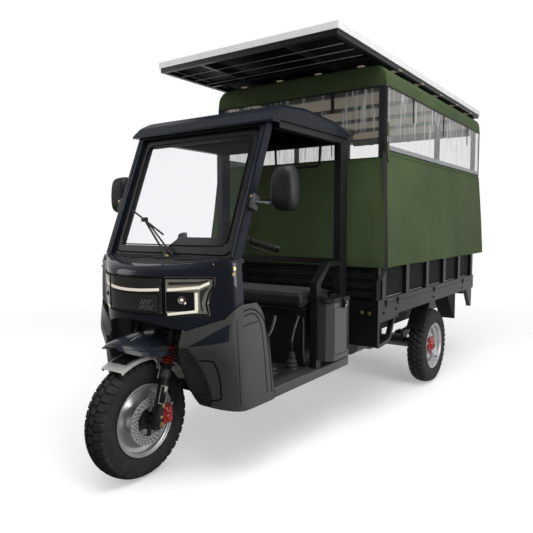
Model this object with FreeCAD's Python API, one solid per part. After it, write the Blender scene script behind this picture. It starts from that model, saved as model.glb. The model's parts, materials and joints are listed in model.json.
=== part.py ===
import FreeCAD, Part
import os
from math import cos, radians, sin, tan

# Electric three-wheeler with an open-sided cab, a cargo box under a canvas canopy and a
# solar panel as its roof. All sizes are in millimetres. X is positive to the driver's left,
# Y runs rearwards from the front axle and Z is up from the ground. The last step moves the
# vehicle along Y, so that its origin is on the ground at the middle of its length.

V = FreeCAD.Vector

# Running clearances
FIT = 0.3               # between pieces that touch
PIVOT_GAP = 0.5         # round a pin or stem
SEAM = 4.0              # between body panels

# Wheels
WHEELBASE = 2234.0
TYRE_RADIUS = 262.0
TYRE_WIDTH = 112.0
BEAD_RADIUS = 152.4
BEAD_WIDTH = 88.0
RIM_FLANGE = 9.0
RIM_WALL = 4.0
RIM_WELL = 22.0
DISC_DISH = 14.0
WHEEL_HOLES = 10
WHEEL_HOLE_RADIUS = 11.0
HUB_RADIUS = 46.0
HUB_ARMS = 5
HUB_ARM_WIDTH = 24.0
HUB_ARM_DEPTH = 17.0
HUB_ARM_REACH = 22.0
FRONT_HUB_LENGTH = 120.0
REAR_TRACK = 1090.0

# Steering
RAKE = 16.0
FORK_OFFSET = 27.0
LEG_SPACING = 228.0
LEG_RADIUS = 23.0
STANCHION_RADIUS = 15.0
AXLE_RADIUS = 9.0
LOWER_CROWN_Z = 345.0
UPPER_CROWN_Z = 560.0
CROWN_DEPTH = 22.0
STEM_RADIUS = 14.0
HEAD_TUBE_WALL = 12.0
SPRING_LENGTH = 84.0
SPRING_TURNS = 6
SPRING_RADIUS = 31.0
BRAKE_DISC_RADIUS = 105.0
BRAKE_DISC_X = 72.0
BRAKE_DISC_THICK = 4.0
BAR_RADIUS = 11.0
GRIP_RADIUS = 17.0
GRIP_LENGTH = 118.0
FENDER_RADIUS = 284.0
FENDER_HALF_WIDTH = 64.0
FENDER_SHEET = 2.5
LIP_HALF_WIDTH = 150.0
LIP_SHEET = 5.0

# Cab
CAB_HALF_WIDTH = 440.0
SILL_BOTTOM = 322.0
SILL_TOP = 373.0
SILL_FACE = CAB_HALF_WIDTH + 10.0
FLOOR_SHEET = 6.0
CAB_REAR = 1170.0
BULKHEAD_Y = 334.0
BULKHEAD_TOP = 760.0
PANEL_WALL = 8.0
NOSE_BOTTOM = 668.0
NOSE_REACH = 350.0
LAMP_BOTTOM = 742.0
LAMP_TOP = 902.0
LAMP_HALF_SPAN = 352.0
GRILLE_HALF_SPAN = 168.0
HOOD_EDGE_Z = 962.0
HOOD_TOP_Z = 981.0
DASHBOARD_DEPTH = 9.0
SCREEN_FOOT_Y = 196.0
SCREEN_FOOT_Z = 986.0
SCREEN_LEAN = 21.5
SCREEN_HEIGHT = 628.0
SCREEN_HALF_WIDTH = 382.0
SCREEN_PILLAR = 34.0
SCREEN_BORDER = 42.0
SCREEN_FRAME_DEPTH = 26.0
GLASS_THICK = 5.0
TUBE = 40.0
PILLAR_DEPTH = 80.0
PILLAR_Y = CAB_REAR - PILLAR_DEPTH - 15.0
ROOF_HALF_WIDTH = CAB_HALF_WIDTH + 15.0
ROOF_REAR = PILLAR_Y + PILLAR_DEPTH
ROOF_WALL = 9.0
ROOF_DEPTH = 93.0
ROOF_RISE = 26.7        # roof edge above the screen's upper end
ROOF_BROW = 28.2        # roof front ahead of the screen's upper end
ROOF_FRONT = SCREEN_FOOT_Y + SCREEN_HEIGHT * sin(radians(SCREEN_LEAN)) - ROOF_BROW
ROOF_EDGE_Z = SCREEN_FOOT_Z + SCREEN_HEIGHT * cos(radians(SCREEN_LEAN)) + ROOF_RISE
ROOF_TOP_Z = ROOF_EDGE_Z + ROOF_DEPTH
GUARD_Y = PILLAR_Y - 253.0
GUARD_DEPTH = 46.0
GUARD_TOP_Z = 925.0
GUARD_BEND_Z = GUARD_TOP_Z - 103.0
SEAT_DEPTH = 323.0
SEAT_REAR = PILLAR_Y - 7.0
SEAT_FRONT = SEAT_REAR - SEAT_DEPTH
SEAT_BASE_HEIGHT = 322.0
SEAT_BOTTOM = SILL_TOP + SEAT_BASE_HEIGHT
CUSHION_DEPTH = 77.0
SEAT_TOP = SEAT_BOTTOM + CUSHION_DEPTH
SEAT_HALF_WIDTH = 393.0
SEAT_BASE_INSET = 60.0
SEAT_PAN = 12.0
SEAT_BOX_SHEET = 4.0
BATTERY_MARGIN = 12.0
BATTERY_WIDTH = 560.0
BATTERY_HEIGHT = 210.0
BACKREST_BAR_Z = GUARD_TOP_Z - 20.0
HOOP_RADIUS = 7.0
HOOP_DROP = 112.0
HOOP_XS = (-18.0, 289.0)
VISOR_THICK = 6.0
VISOR_DROP = 66.0

# Side toolbox, outboard of the guard
TOOLBOX_LENGTH = 198.0
TOOLBOX_FRONT = GUARD_Y + 13.0
TOOLBOX_REAR = TOOLBOX_FRONT + TOOLBOX_LENGTH
TOOLBOX_FACE = CAB_HALF_WIDTH + 80.0
TOOLBOX_BOTTOM = 416.0
TOOLBOX_TOP = TOOLBOX_BOTTOM + 306.0
TOOLBOX_WALL = 4.0
TOOLBOX_CHAMFER = 32.0
LID_DEPTH = 20.0
LID_PIN_RADIUS = 4.0
LID_GAP = 0.5
LATCH_Y = TOOLBOX_REAR - 68.0

# Chassis rails
RAIL_X = 380.0
RAIL_WIDTH = 60.0
RAIL_DEPTH = 100.0
RAIL_BOTTOM = 440.0
RAIL_TOP = RAIL_BOTTOM + RAIL_DEPTH
RAIL_CROSSES = (0.14, 0.32, 0.68)       # where they stand along the box
BEARERS = (0.21, 0.50, 0.79)

# Cargo box
BOX_LENGTH = 1974.0
BOX_FRONT = CAB_REAR + 56.0
BOX_REAR = BOX_FRONT + BOX_LENGTH
BOX_HALF_WIDTH = 605.0
BOX_BOTTOM = RAIL_TOP + 51.0
BEAM_DEPTH = 60.0
DECK_Z = BOX_BOTTOM + BEAM_DEPTH
DECK_SHEET = 5.0
SIDE_HEIGHT = 279.0
SIDE_RAIL_TOP = DECK_Z + 49.0
SIDE_TOP = DECK_Z + SIDE_HEIGHT
SIDE_THICK = 34.0
SIDE_SHEET = 4.0
SIDE_POST = 52.0
SIDE_POSTS = 6
TOP_RAIL = 26.0
TAILGATE_GAP = 6.0
HINGE_RADIUS = 8.0
HINGE_Y = BOX_REAR + 9.0
HINGE_Z = DECK_Z + 2.0
HINGE_XS = (-350.0, 0.0, 350.0)
KNUCKLE = 60.0
PIN_RADIUS = 4.0
SILL_BEAM = 45.0
CAGE_TUBE = 22.0
CAGE_WIDTH = 30.0
SIDE_SEAM_Z = DECK_Z + 17.0
HEADBOARD_RIBS = 5
PLATE_WIDTH = 220.0
PLATE_HEIGHT = 130.0
PLATE_Z = BOX_BOTTOM - 141.0
PLATE_HOLE_RADIUS = 3.5
PLATE_HOLE_SPACING = 150.0

# Lower chassis
FLOOR_RAIL_X = 310.0
LOW_FRAME_FRONT = 288.0
NOSE_STAY_X = 430.0
BACKBONE_TUBE = 40.0
YOKE_RADIUS = 13.0
NECK_RADIUS = 16.0
STAY_RADIUS = 11.0
NOSE_STAY_Y = 244.0
NOSE_STAY_Z = 730.0
AXLE_TUBE_RADIUS = 34.0
SPRING_X = RAIL_X - 30.0
SPRING_SPAN = 860.0
LEAF_THICK = 9.0
LEAF_WIDTH = 50.0
LEAVES = 4
MOTOR_RADIUS = 88.0
MOTOR_LENGTH = 230.0
DIFF_RADIUS = 92.0
DIFF_X = 70.0

# Canopy
CANOPY_FRONT = BOX_FRONT + 70.0
CANOPY_REAR = BOX_REAR + 66.0
CANOPY_HALF_WIDTH = BOX_HALF_WIDTH
VALANCE_DEPTH = 127.0
WINDOW_HEIGHT = 364.0
CANVAS = 4.0
SHOULDER_INSET = 48.0
SHOULDER_DROP = 46.0
WINDOW_FILM = 2.0
HEM_Z = SIDE_TOP - 42.0
HEM_FLARE = 42.0
HEM_REAR = CANOPY_REAR + 52.0
BOW_TUBE = 30.0
BOWS = 5
ROLL_RADIUS = 30.0

# Solar panel
PANEL_FRONT = 735.0
PANEL_REAR = CANOPY_REAR + 34.0
PANEL_HALF_WIDTH = 597.0
PANEL_TOP = 2083.0
PANEL_FRAME_DEPTH = 34.0
PANEL_FRAME_WIDTH = 32.0
PANEL_SHEET = 6.0
UNDERFRAME_TUBE = 25.0
UNDERFRAME_CROSSES = 7
UNDERFRAME_RAIL_X = 300.0

# The canopy hangs below the panel's underframe
CANOPY_TOP = PANEL_TOP - PANEL_FRAME_DEPTH - UNDERFRAME_TUBE
VALANCE_BOTTOM = CANOPY_TOP - VALANCE_DEPTH
WINDOW_BOTTOM = VALANCE_BOTTOM - WINDOW_HEIGHT

# Mirrors, wiper and controls
MIRROR_CENTRE = (530.0, 380.0, 1284.0)
MIRROR_ARM_Y = 282.0
MIRROR_ARM_Z = 1203.0
WIPER_X = 20.0
PEDAL_X = 110.0
LEVER_X = 215.0

# Height, middle and corner of each section of the nose
NOSE_LEVELS = [(NOSE_BOTTOM, -34.0, 440.0, 164.0), (LAMP_BOTTOM, -45.0, 441.0, 156.0),
               (LAMP_TOP, -47.0, 434.0, 156.0), (HOOD_EDGE_Z, -38.0, 426.0, 158.0)]
HOOD_CROWN = (-12.0, 418.0, 160.0)

# Front view of the nose's lower edge on the left side, from the middle to the corner
CREASE = [(0.0, 716.0), (100.0, 708.0), (240.0, 676.0), (400.0, 734.0), (440.0, 790.0)]

# Sections of the left leg shield, from the wheel arch round the corner to the door opening
SHIELD_LEVELS = [
    (SILL_BOTTOM, [(222, 160), (285, 156), (345, 158), (405, 172), (446, 200), (450, 250), (450, 424)]),
    (394.0, [(228, 103), (270, 140), (330, 152), (405, 166), (446, 190), (450, 240), (450, 414)]),
    (450.0, [(230, 73), (262, 110), (312, 138), (400, 158), (443, 182), (449, 232), (450, 404)]),
    (500.0, [(230, 50), (260, 88), (312, 122), (396, 146), (440, 176), (448, 226), (450, 396)]),
    (545.0, [(230, 33), (262, 64), (316, 98), (392, 130), (437, 168), (447, 220), (449, 388)]),
    (603.0, [(222, 30), (262, 44), (320, 66), (388, 102), (434, 156), (446, 212), (448, 376)]),
    (650.0, [(226, 40), (266, 54), (322, 74), (388, 104), (433, 152), (445, 206), (447, 364)]),
    (696.0, [(236, 50), (276, 66), (334, 92), (394, 118), (432, 152), (444, 202), (446, 350)]),
    (742.0, [(244, 54), (284, 76), (342, 108), (400, 132), (432, 158), (444, 200), (446, 340)]),
    (790.0, [(250, 60), (290, 84), (346, 116), (402, 140), (432, 162), (444, 200), (446, 284)]),
]

# The vehicle's rearmost point is the hem of the side curtains
FRONT_AXLE_Y = (TYRE_RADIUS - HEM_REAR) / 2
REAR_WHEEL_X = REAR_TRACK / 2


def block(x0, x1, y0, y1, z0, z1):
    return Part.makeBox(x1 - x0, y1 - y0, z1 - z0, V(x0, y0, z0))


def polygon(points):
    return Part.Face(Part.makePolygon(points + points[:1]))


def prism_x(points, x0, x1):
    """A side view outline of (y, z) points, given its width."""
    return polygon([V(x0, y, z) for y, z in points]).extrude(V(x1 - x0, 0, 0))


def prism_y(points, y0, y1):
    """A front view outline of (x, z) points, given its length."""
    return polygon([V(x, y0, z) for x, z in points]).extrude(V(0, y1 - y0, 0))


def prism_z(points, z0, z1):
    """A plan outline of (x, y) points, given its height."""
    return polygon([V(x, y, z0) for x, y in points]).extrude(V(0, 0, z1 - z0))


def rod(start, end, radius):
    start, end = V(*start), V(*end)
    return Part.makeCylinder(radius, (end - start).Length, start, end - start)


def fuse(*shapes):
    whole = shapes[0].multiFuse(list(shapes[1:])) if len(shapes) > 1 else shapes[0]
    return whole.removeSplitter()


def cut(shape, *tools):
    return shape.cut(Part.makeCompound(list(tools)))


def mirrored(shape):
    return shape.mirror(V(0, 0, 0), V(1, 0, 0))


def pair(shape):
    return [shape, mirrored(shape)]


def turned(profile):
    """A solid of revolution about the X axis, from (x, radius) points."""
    return polygon([V(x, r, 0) for x, r in profile]).revolve(V(0, 0, 0), V(1, 0, 0), 360)


def bent_tube(points, radius, bend):
    """A round tube along straight runs that are joined by tangent arcs."""
    points = [V(*p) for p in points]
    edges, last = [], points[0]
    for before, corner, after in zip(points, points[1:], points[2:]):
        to_start = (before - corner).normalize()
        to_end = (after - corner).normalize()
        half = to_start.getAngle(to_end) / 2
        reach = bend / tan(half)
        start, end = corner + to_start * reach, corner + to_end * reach
        middle = corner + (to_start + to_end).normalize() * (bend / sin(half) - bend)
        edges += [Part.LineSegment(last, start).toShape(), Part.Arc(start, middle, end).toShape()]
        last = end
    edges.append(Part.LineSegment(last, points[-1]).toShape())
    ring = Part.Wire(Part.Circle(points[0], points[1] - points[0], radius).toShape())
    return Part.Wire(edges).makePipeShell([ring], True, False)


def save(name, *shapes):
    """Writes one piece of the vehicle, moved from the front axle to its own frame."""
    solids = [solid for shape in shapes for solid in shape.Solids]
    whole = solids[0] if len(solids) == 1 else Part.makeCompound(solids)
    whole = whole.copy()
    whole.translate(V(0, FRONT_AXLE_Y, 0))
    whole.exportStep("parts/" + name + ".step")
    box = whole.BoundBox
    print(name, len(solids), "valid" if whole.isValid() else "INVALID",
          [round(v) for v in (box.XMin, box.XMax, box.YMin, box.YMax, box.ZMin, box.ZMax)])


# Wheels: each is made about the X axis at the origin, then moved to its axle

def tyre():
    bead = BEAD_WIDTH / 2
    half = TYRE_WIDTH / 2
    shoulder = half * 0.74
    seat = BEAD_RADIUS + FIT
    flank = V(half, seat + (TYRE_RADIUS - seat) * 0.46, 0)
    low, high = V(bead - FIT, seat, 0), V(shoulder, TYRE_RADIUS - 13, 0)
    over = V(bead + 1.6, BEAD_RADIUS + RIM_FLANGE + 1, 0)

    def left(point):
        return V(-point.x, point.y, 0)

    edges = [Part.LineSegment(low, over).toShape(),
             Part.Arc(over, flank, high).toShape(),
             Part.Arc(high, V(0, TYRE_RADIUS, 0), left(high)).toShape(),
             Part.Arc(left(high), left(flank), left(over)).toShape(),
             Part.LineSegment(left(over), left(low)).toShape(),
             Part.LineSegment(left(low), low).toShape()]
    return Part.Face(Part.Wire(edges)).revolve(V(0, 0, 0), V(1, 0, 0), 360)


def rim(hub_from, hub_to):
    """A pressed steel rim with its dished disc and hub. The disc bulges towards +X."""
    seat = BEAD_WIDTH / 2
    edge = seat + 8
    well = BEAD_RADIUS - RIM_WELL
    wall = RIM_WALL
    outer = [(-edge, BEAD_RADIUS + RIM_FLANGE), (-seat - 2, BEAD_RADIUS + RIM_FLANGE),
             (-seat, BEAD_RADIUS), (-20, BEAD_RADIUS - 3), (-13, well), (13, well),
             (20, BEAD_RADIUS - 3), (seat, BEAD_RADIUS), (seat + 2, BEAD_RADIUS + RIM_FLANGE),
             (edge, BEAD_RADIUS + RIM_FLANGE)]
    inner = [(edge, BEAD_RADIUS + 2), (seat, BEAD_RADIUS - wall - 1), (22, BEAD_RADIUS - 3 - wall),
             (15, well - wall), (-15, well - wall), (-22, BEAD_RADIUS - 3 - wall),
             (-seat, BEAD_RADIUS - wall - 1), (-edge, BEAD_RADIUS + 2)]
    barrel = turned(outer + inner)
    foot = well - wall + 1
    dish = turned([(-wall, foot), (wall, foot), (DISC_DISH + wall, foot - 26),
                   (DISC_DISH + wall, HUB_RADIUS - 2), (DISC_DISH - wall, HUB_RADIUS - 2),
                   (DISC_DISH - wall, foot - 26)])
    hole_ring = (foot - 26 + HUB_RADIUS) / 2
    holes = []
    for i in range(WHEEL_HOLES):
        angle = radians(360 * i / WHEEL_HOLES)
        y, z = hole_ring * cos(angle), hole_ring * sin(angle)
        holes.append(rod((-60, y, z), (60, y, z), WHEEL_HOLE_RADIUS))
    hub = rod((hub_from, 0, 0), (hub_to, 0, 0), HUB_RADIUS)
    bore = rod((hub_from - 1, 0, 0), (hub_to + 1, 0, 0), AXLE_RADIUS + PIVOT_GAP)
    return cut(fuse(barrel, cut(dish, *holes), hub), bore)


def to_front_axle(shape):
    shape.translate(V(0, 0, TYRE_RADIUS))
    return shape


def to_rear_axle(shape):
    shape.translate(V(REAR_WHEEL_X, WHEELBASE, TYRE_RADIUS))
    return shape


def wheels():
    half_hub = FRONT_HUB_LENGTH / 2
    disc_inner = BRAKE_DISC_X - BRAKE_DISC_THICK / 2
    save("front_tyre", to_front_axle(tyre()))
    save("front_rim", to_front_axle(rim(-half_hub, disc_inner - FIT)))
    disc = cut(rod((disc_inner, 0, 0), (disc_inner + BRAKE_DISC_THICK, 0, 0), BRAKE_DISC_RADIUS),
               rod((0, 0, 0), (100, 0, 0), AXLE_RADIUS + PIVOT_GAP), *disc_windows())
    save("brake_disc", to_front_axle(disc))
    rear_tyre = to_rear_axle(tyre())
    rear_rim = to_rear_axle(rim(-56, 40))
    rear_cap = to_rear_axle(rod((40, 0, 0), (58, 0, 0), HUB_RADIUS * 0.6))
    rear_rim = fuse(rear_rim, rear_cap, *hub_arms())
    save("rear_tyre_left", rear_tyre)
    save("rear_rim_left", rear_rim)
    save("rear_tyre_right", mirrored(rear_tyre))
    save("rear_rim_right", mirrored(rear_rim))


def hub_arms():
    """Stubby arms of the rear hub, one to each wheel nut, laid on the pressed disc."""
    face = DISC_DISH + RIM_WALL - 1
    arms = []
    for i in range(HUB_ARMS):
        arm = block(face, face + HUB_ARM_DEPTH, -HUB_ARM_WIDTH / 2, HUB_ARM_WIDTH / 2,
                    HUB_RADIUS - 8, HUB_RADIUS + HUB_ARM_REACH)
        arm.rotate(V(0, 0, 0), V(1, 0, 0), 360 * i / HUB_ARMS)
        arms.append(to_rear_axle(arm))
    return arms


def disc_windows():
    """The slots between the brake disc's carrier and its ring."""
    windows = []
    for i in range(5):
        angle = radians(72 * i)
        y, z = 62 * cos(angle), 62 * sin(angle)
        windows.append(rod((0, y, z), (100, y, z), 13))
    return windows


# Steering: the fork is made upright round its own axis, then leant back by the rake

def leaned(shape):
    shape.rotate(V(0, 0, 0), V(1, 0, 0), -RAKE)
    shape.translate(V(0, FORK_OFFSET * cos(radians(RAKE)),
                      TYRE_RADIUS - FORK_OFFSET * sin(radians(RAKE))))
    return shape


def on_fork(x, y, z):
    """Where a point of the upright fork lies on the leant one."""
    angle = radians(RAKE)
    return (x, (y + FORK_OFFSET) * cos(angle) + z * sin(angle),
            TYRE_RADIUS - (y + FORK_OFFSET) * sin(angle) + z * cos(angle))


def crown(z):
    leg = LEG_SPACING / 2
    plate = prism_z([(-leg, -FORK_OFFSET - 24), (leg, -FORK_OFFSET - 24), (leg, -FORK_OFFSET + 24),
                     (30, 26), (-30, 26), (-leg, -FORK_OFFSET + 24)], z, z + CROWN_DEPTH)
    ends = [rod((x, -FORK_OFFSET, z), (x, -FORK_OFFSET, z + CROWN_DEPTH), 26) for x in (-leg, leg)]
    return fuse(plate, *ends)


def fork():
    leg = LEG_SPACING / 2
    pieces = [crown(LOWER_CROWN_Z), crown(UPPER_CROWN_Z),
              rod((0, 0, LOWER_CROWN_Z), (0, 0, UPPER_CROWN_Z + CROWN_DEPTH), STEM_RADIUS)]
    slider_top = LOWER_CROWN_Z - SPRING_LENGTH - 2 * FIT
    for x in (-leg, leg):
        pieces.append(rod((x, -FORK_OFFSET, -26), (x, -FORK_OFFSET, slider_top), LEG_RADIUS))
        pieces.append(rod((x, -FORK_OFFSET, slider_top), (x, -FORK_OFFSET, UPPER_CROWN_Z),
                          STANCHION_RADIUS))
    reach = leg + LEG_RADIUS + 10
    pieces.append(rod((-reach, -FORK_OFFSET, 0), (reach, -FORK_OFFSET, 0), AXLE_RADIUS))
    return leaned(fuse(*pieces))


def fork_springs():
    """Red coil springs, each drawn as its stack of turns round the stanchion."""
    bottom = LOWER_CROWN_Z - SPRING_LENGTH - FIT
    pitch = SPRING_LENGTH / SPRING_TURNS
    inner = STANCHION_RADIUS + FIT
    profile = [(bottom, inner)]
    for i in range(SPRING_TURNS):
        z = bottom + i * pitch
        profile += [(z, SPRING_RADIUS - 7), (z + pitch * 0.3, SPRING_RADIUS),
                    (z + pitch * 0.7, SPRING_RADIUS)]
    top = bottom + SPRING_LENGTH
    profile += [(top, SPRING_RADIUS - 7), (top, inner)]
    ring = polygon([V(r, 0, z) for z, r in profile]).revolve(V(0, 0, 0), V(0, 0, 1), 360)
    springs = []
    for x in (-LEG_SPACING / 2, LEG_SPACING / 2):
        spring = ring.copy()
        spring.translate(V(x, -FORK_OFFSET, 0))
        springs.append(leaned(spring))
    return springs


def handlebar():
    """Pulled-back bar on the upper crown, with its grips and instrument pod."""
    foot = on_fork(46, 0, UPPER_CROWN_Z + CROWN_DEPTH + FIT)
    rise = on_fork(46, 0, UPPER_CROWN_Z + CROWN_DEPTH + 30)
    half = bent_tube([foot, rise, (60, 262, 902), (128, 400, 1008), (228, 528, 1050), (345, 604, 1006)],
                     BAR_RADIUS, 45)
    outer = V(352, 608, 1003)
    inner = outer + (V(228, 528, 1050) - V(345, 604, 1006)).normalize() * GRIP_LENGTH
    grip = Part.makeCylinder(GRIP_RADIUS, GRIP_LENGTH, inner, outer - inner)
    pod = prism_x([(338, 985), (420, 1030), (404, 1062), (330, 1022)], -125, 125)
    clamp = leaned(prism_z([(-62, -16), (62, -16), (62, 16), (-62, 16)],
                           UPPER_CROWN_Z + CROWN_DEPTH + FIT, UPPER_CROWN_Z + CROWN_DEPTH + 24))
    side = fuse(half, grip)
    return fuse(side, mirrored(side), pod, clamp)


def upper_fender():
    """Beak-shaped fender under the nose: a crowned sheet, narrower towards its front lip."""
    stations = [(-158, 46, 610, 600), (-130, 92, 622, 588), (-70, 128, 636, 572),
                (10, 146, 646, 560), (120, LIP_HALF_WIDTH, 648, 556)]

    def arch(y, half, top, edge):
        low, high = V(-half, y, edge), V(half, y, edge)
        inside = LIP_SHEET
        outer = Part.Arc(high, V(0, y, top), low).toShape()
        inner = Part.Arc(V(-half + inside, y, edge), V(0, y, top - inside),
                         V(half - inside, y, edge)).toShape()
        ends = [Part.LineSegment(low, V(-half + inside, y, edge)).toShape(),
                Part.LineSegment(V(half - inside, y, edge), high).toShape()]
        return Part.Wire([outer, ends[0], inner, ends[1]])

    shell = Part.makeLoft([arch(*s) for s in stations], True, False)
    legs = [rod(on_fork(x, -FORK_OFFSET, LOWER_CROWN_Z - 120),
                on_fork(x, -FORK_OFFSET, LOWER_CROWN_Z + CROWN_DEPTH + 60), SPRING_RADIUS + 3)
            for x in (-LEG_SPACING / 2, LEG_SPACING / 2)]
    hollow = leaned(prism_z([(-LEG_SPACING / 2 - 27, -FORK_OFFSET - 27),
                             (LEG_SPACING / 2 + 27, -FORK_OFFSET - 27),
                             (LEG_SPACING / 2 + 27, 60), (-LEG_SPACING / 2 - 27, 60)],
                            LOWER_CROWN_Z - FIT, LOWER_CROWN_Z + CROWN_DEPTH + 1))
    foot = leaned(block(-24, 24, -FORK_OFFSET - 23, -FORK_OFFSET - 9, LOWER_CROWN_Z + CROWN_DEPTH + FIT,
                        LOWER_CROWN_Z + CROWN_DEPTH + 28))
    notch = rod(on_fork(0, 0, LOWER_CROWN_Z), on_fork(0, 0, UPPER_CROWN_Z),
                STEM_RADIUS + HEAD_TUBE_WALL + 6)
    return fuse(cut(shell, hollow, notch, *legs), foot)


def lower_fender():
    """Silver mudguard that follows the tyre, with flanged sides and stays to the legs."""
    outer, inner = FENDER_RADIUS + FENDER_SHEET, FENDER_RADIUS
    half = FENDER_HALF_WIDTH
    ring = turned([(-half, inner - 14), (-half, outer), (half, outer), (half, inner - 14),
                   (half - FENDER_SHEET, inner - 14), (half - FENDER_SHEET, inner),
                   (-half + FENDER_SHEET, inner), (-half + FENDER_SHEET, inner - 14)])
    ring.translate(V(0, 0, TYRE_RADIUS))
    wedge = prism_x([(0, TYRE_RADIUS), (-200, TYRE_RADIUS + 340), (0, TYRE_RADIUS + 600),
                     (420, TYRE_RADIUS + 500), (500, TYRE_RADIUS + 250)], -half - 1, half + 1)
    guard = ring.common(wedge)
    leg = LEG_SPACING / 2
    joint = on_fork(leg, -FORK_OFFSET, LOWER_CROWN_Z - SPRING_LENGTH - 24)
    strip = block(half - 1, half + FENDER_SHEET, joint[1] - 12, joint[1] + 12, joint[2] - 4,
                  TYRE_RADIUS + FENDER_RADIUS - 16)
    arm = block(half - 1, leg, joint[1] - 10, joint[1] + 10, joint[2] - 4, joint[2] + 4)
    slider = rod(on_fork(leg, -FORK_OFFSET, 0), on_fork(leg, -FORK_OFFSET, LOWER_CROWN_Z),
                 LEG_RADIUS + FIT)
    stay = cut(fuse(strip, arm), slider)
    return fuse(guard, stay, mirrored(stay))


def brake_caliper():
    """Two-piston caliper behind the left leg, straddling the disc."""
    body = block(BRAKE_DISC_X - 22, BRAKE_DISC_X + 26, 62, 116, TYRE_RADIUS - 28, TYRE_RADIUS + 52)
    gap = block(BRAKE_DISC_X - BRAKE_DISC_THICK, BRAKE_DISC_X + BRAKE_DISC_THICK,
                40, BRAKE_DISC_RADIUS + 4, TYRE_RADIUS - 60, TYRE_RADIUS + 80)
    arm = block(BRAKE_DISC_X + 12, BRAKE_DISC_X + 24, 8, 64, TYRE_RADIUS + 12, TYRE_RADIUS + 48)
    legs = rod(on_fork(LEG_SPACING / 2, -FORK_OFFSET, -60),
               on_fork(LEG_SPACING / 2, -FORK_OFFSET, 300), LEG_RADIUS + FIT)
    return cut(fuse(cut(body, gap), arm), legs)


def steering():
    save("fork", fork())
    save("fork_springs", *fork_springs())
    save("handlebar", handlebar())
    save("front_fender_upper", upper_fender())
    save("front_fender_lower", lower_fender())
    save("brake_caliper", brake_caliper())


# Cab front: horizontal sections of the outer skin, each lofted with its own thickness

def smooth(points):
    """A curve drawn smoothly along its guide points."""
    curve = Part.BSplineCurve()
    curve.buildFromPoles(points)
    return curve.toShape()


def joined(front, back):
    """A closed wire from two guided curves, the second one running back to the first."""
    return Part.Wire([smooth(front), Part.LineSegment(front[-1], back[0]).toShape(),
                      smooth(back), Part.LineSegment(back[-1], front[0]).toShape()])


def moved_in(points, distance):
    """The guide points, each moved square to its curve towards the inside of the cab."""
    result = []
    for i, point in enumerate(points):
        along = points[min(i + 1, len(points) - 1)] - points[max(i - 1, 0)]
        result.append(point + V(-along.y, along.x, 0).normalize() * distance)
    return result


def guided(rows):
    """A smooth surface drawn along rows of guide points, meeting them only at its border."""
    def spans(count):
        inner = count - 3
        return [4] + [1] * (inner - 1) + [4], [i / inner for i in range(inner + 1)]

    row_mults, row_knots = spans(len(rows))
    point_mults, point_knots = spans(len(rows[0]))
    surface = Part.BSplineSurface()
    surface.buildFromPolesMultsKnots(rows, row_mults, point_mults, row_knots, point_knots,
                                     False, False, 3, 3)
    return surface


def skin(sections, start, wall):
    """A panel guided by sections of (height, plan points), from start to start + wall inside."""
    plans = [[V(x, y, z) for x, y in plan] for z, plan in sections]
    outer = guided([moved_in(plan, start) for plan in plans])
    inner = guided([moved_in(plan, start + wall) for plan in plans])
    faces = [outer.toShape(), inner.toShape()]
    for end in (0, 1):
        faces.append(Part.makeRuledSurface(outer.uIso(end).toShape(), inner.uIso(end).toShape()))
        faces.append(Part.makeRuledSurface(outer.vIso(end).toShape(), inner.vIso(end).toShape()))
    shell = Part.makeShell(faces)
    shell.sewShape()
    panel = Part.makeSolid(shell)
    return panel if panel.Volume > 0 else panel.reversed()


def nose_y(front, corner_y, x):
    return front + (corner_y - 30 - front) * (x / NOSE_REACH) ** 2


def nose_curve(front, corner_x, corner_y):
    """Plan curve of the nose, from one rear corner round the front to the other."""
    half = [(x, nose_y(front, corner_y, x)) for x in (0, 90, 180, 270, NOSE_REACH)]
    half += [(corner_x - 14, corner_y - 14), (corner_x, corner_y + 8), (corner_x + 3, corner_y + 46)]
    return [(-x, y) for x, y in half[:0:-1]] + half


def lamp_outline(grow):
    """Front view of the left headlamp, notched on its outer side, grown by a margin."""
    inner = GRILLE_HALF_SPAN + SEAM - grow
    bottom, top = LAMP_BOTTOM - grow, LAMP_TOP + grow
    return [(inner, bottom), (LAMP_HALF_SPAN - 20 + grow, bottom), (LAMP_HALF_SPAN - 26 + grow, 792),
            (LAMP_HALF_SPAN - 18 + grow, 838), (LAMP_HALF_SPAN + grow, 868),
            (LAMP_HALF_SPAN + grow, top), (inner, top)]


def grille_outline(grow):
    side = GRILLE_HALF_SPAN + grow
    bottom, top = LAMP_BOTTOM - grow, LAMP_TOP + grow
    return [(-side, bottom), (side, bottom), (side, top), (-side, top)]


def nose_sections(levels):
    return [(z, nose_curve(front, x, y)) for z, front, x, y in levels]


def nose_insert(outline, x0, x1, depth):
    """A lamp or panel that fills its bay in the cowl, with a flange behind the skin."""
    split = GRILLE_HALF_SPAN + SEAM / 2
    own = block(-split + FIT / 2, split - FIT / 2, -300, 300, 0, HOOD_TOP_Z)
    if x0 > 0:
        own = block(split + FIT / 2, CAB_HALF_WIDTH, -300, 300, 0, HOOD_TOP_Z)
    behind = PANEL_WALL + FIT
    front = skin(nose_sections(NOSE_LEVELS), 0, behind + 6).common(prism_y(outline(0), -300, 300))
    flange = skin(nose_sections(NOSE_LEVELS), behind, 6)
    flange = flange.common(prism_y(outline(SEAM + 5), -300, 300)).common(own)
    wires = []
    for z, middle, corner_x, corner_y in (NOSE_LEVELS[1], NOSE_LEVELS[2]):
        face = [V(x, nose_y(middle, corner_y, x) + behind + 8, z)
                for x in (x0, (x0 + x1) / 2, x1)]
        wires.append(joined(face, [p + V(0, depth, 0) for p in face[::-1]]))
    body = Part.makeLoft(wires, True, True).common(prism_y(outline(-6), -300, 300))
    return fuse(front, flange, body)


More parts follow.
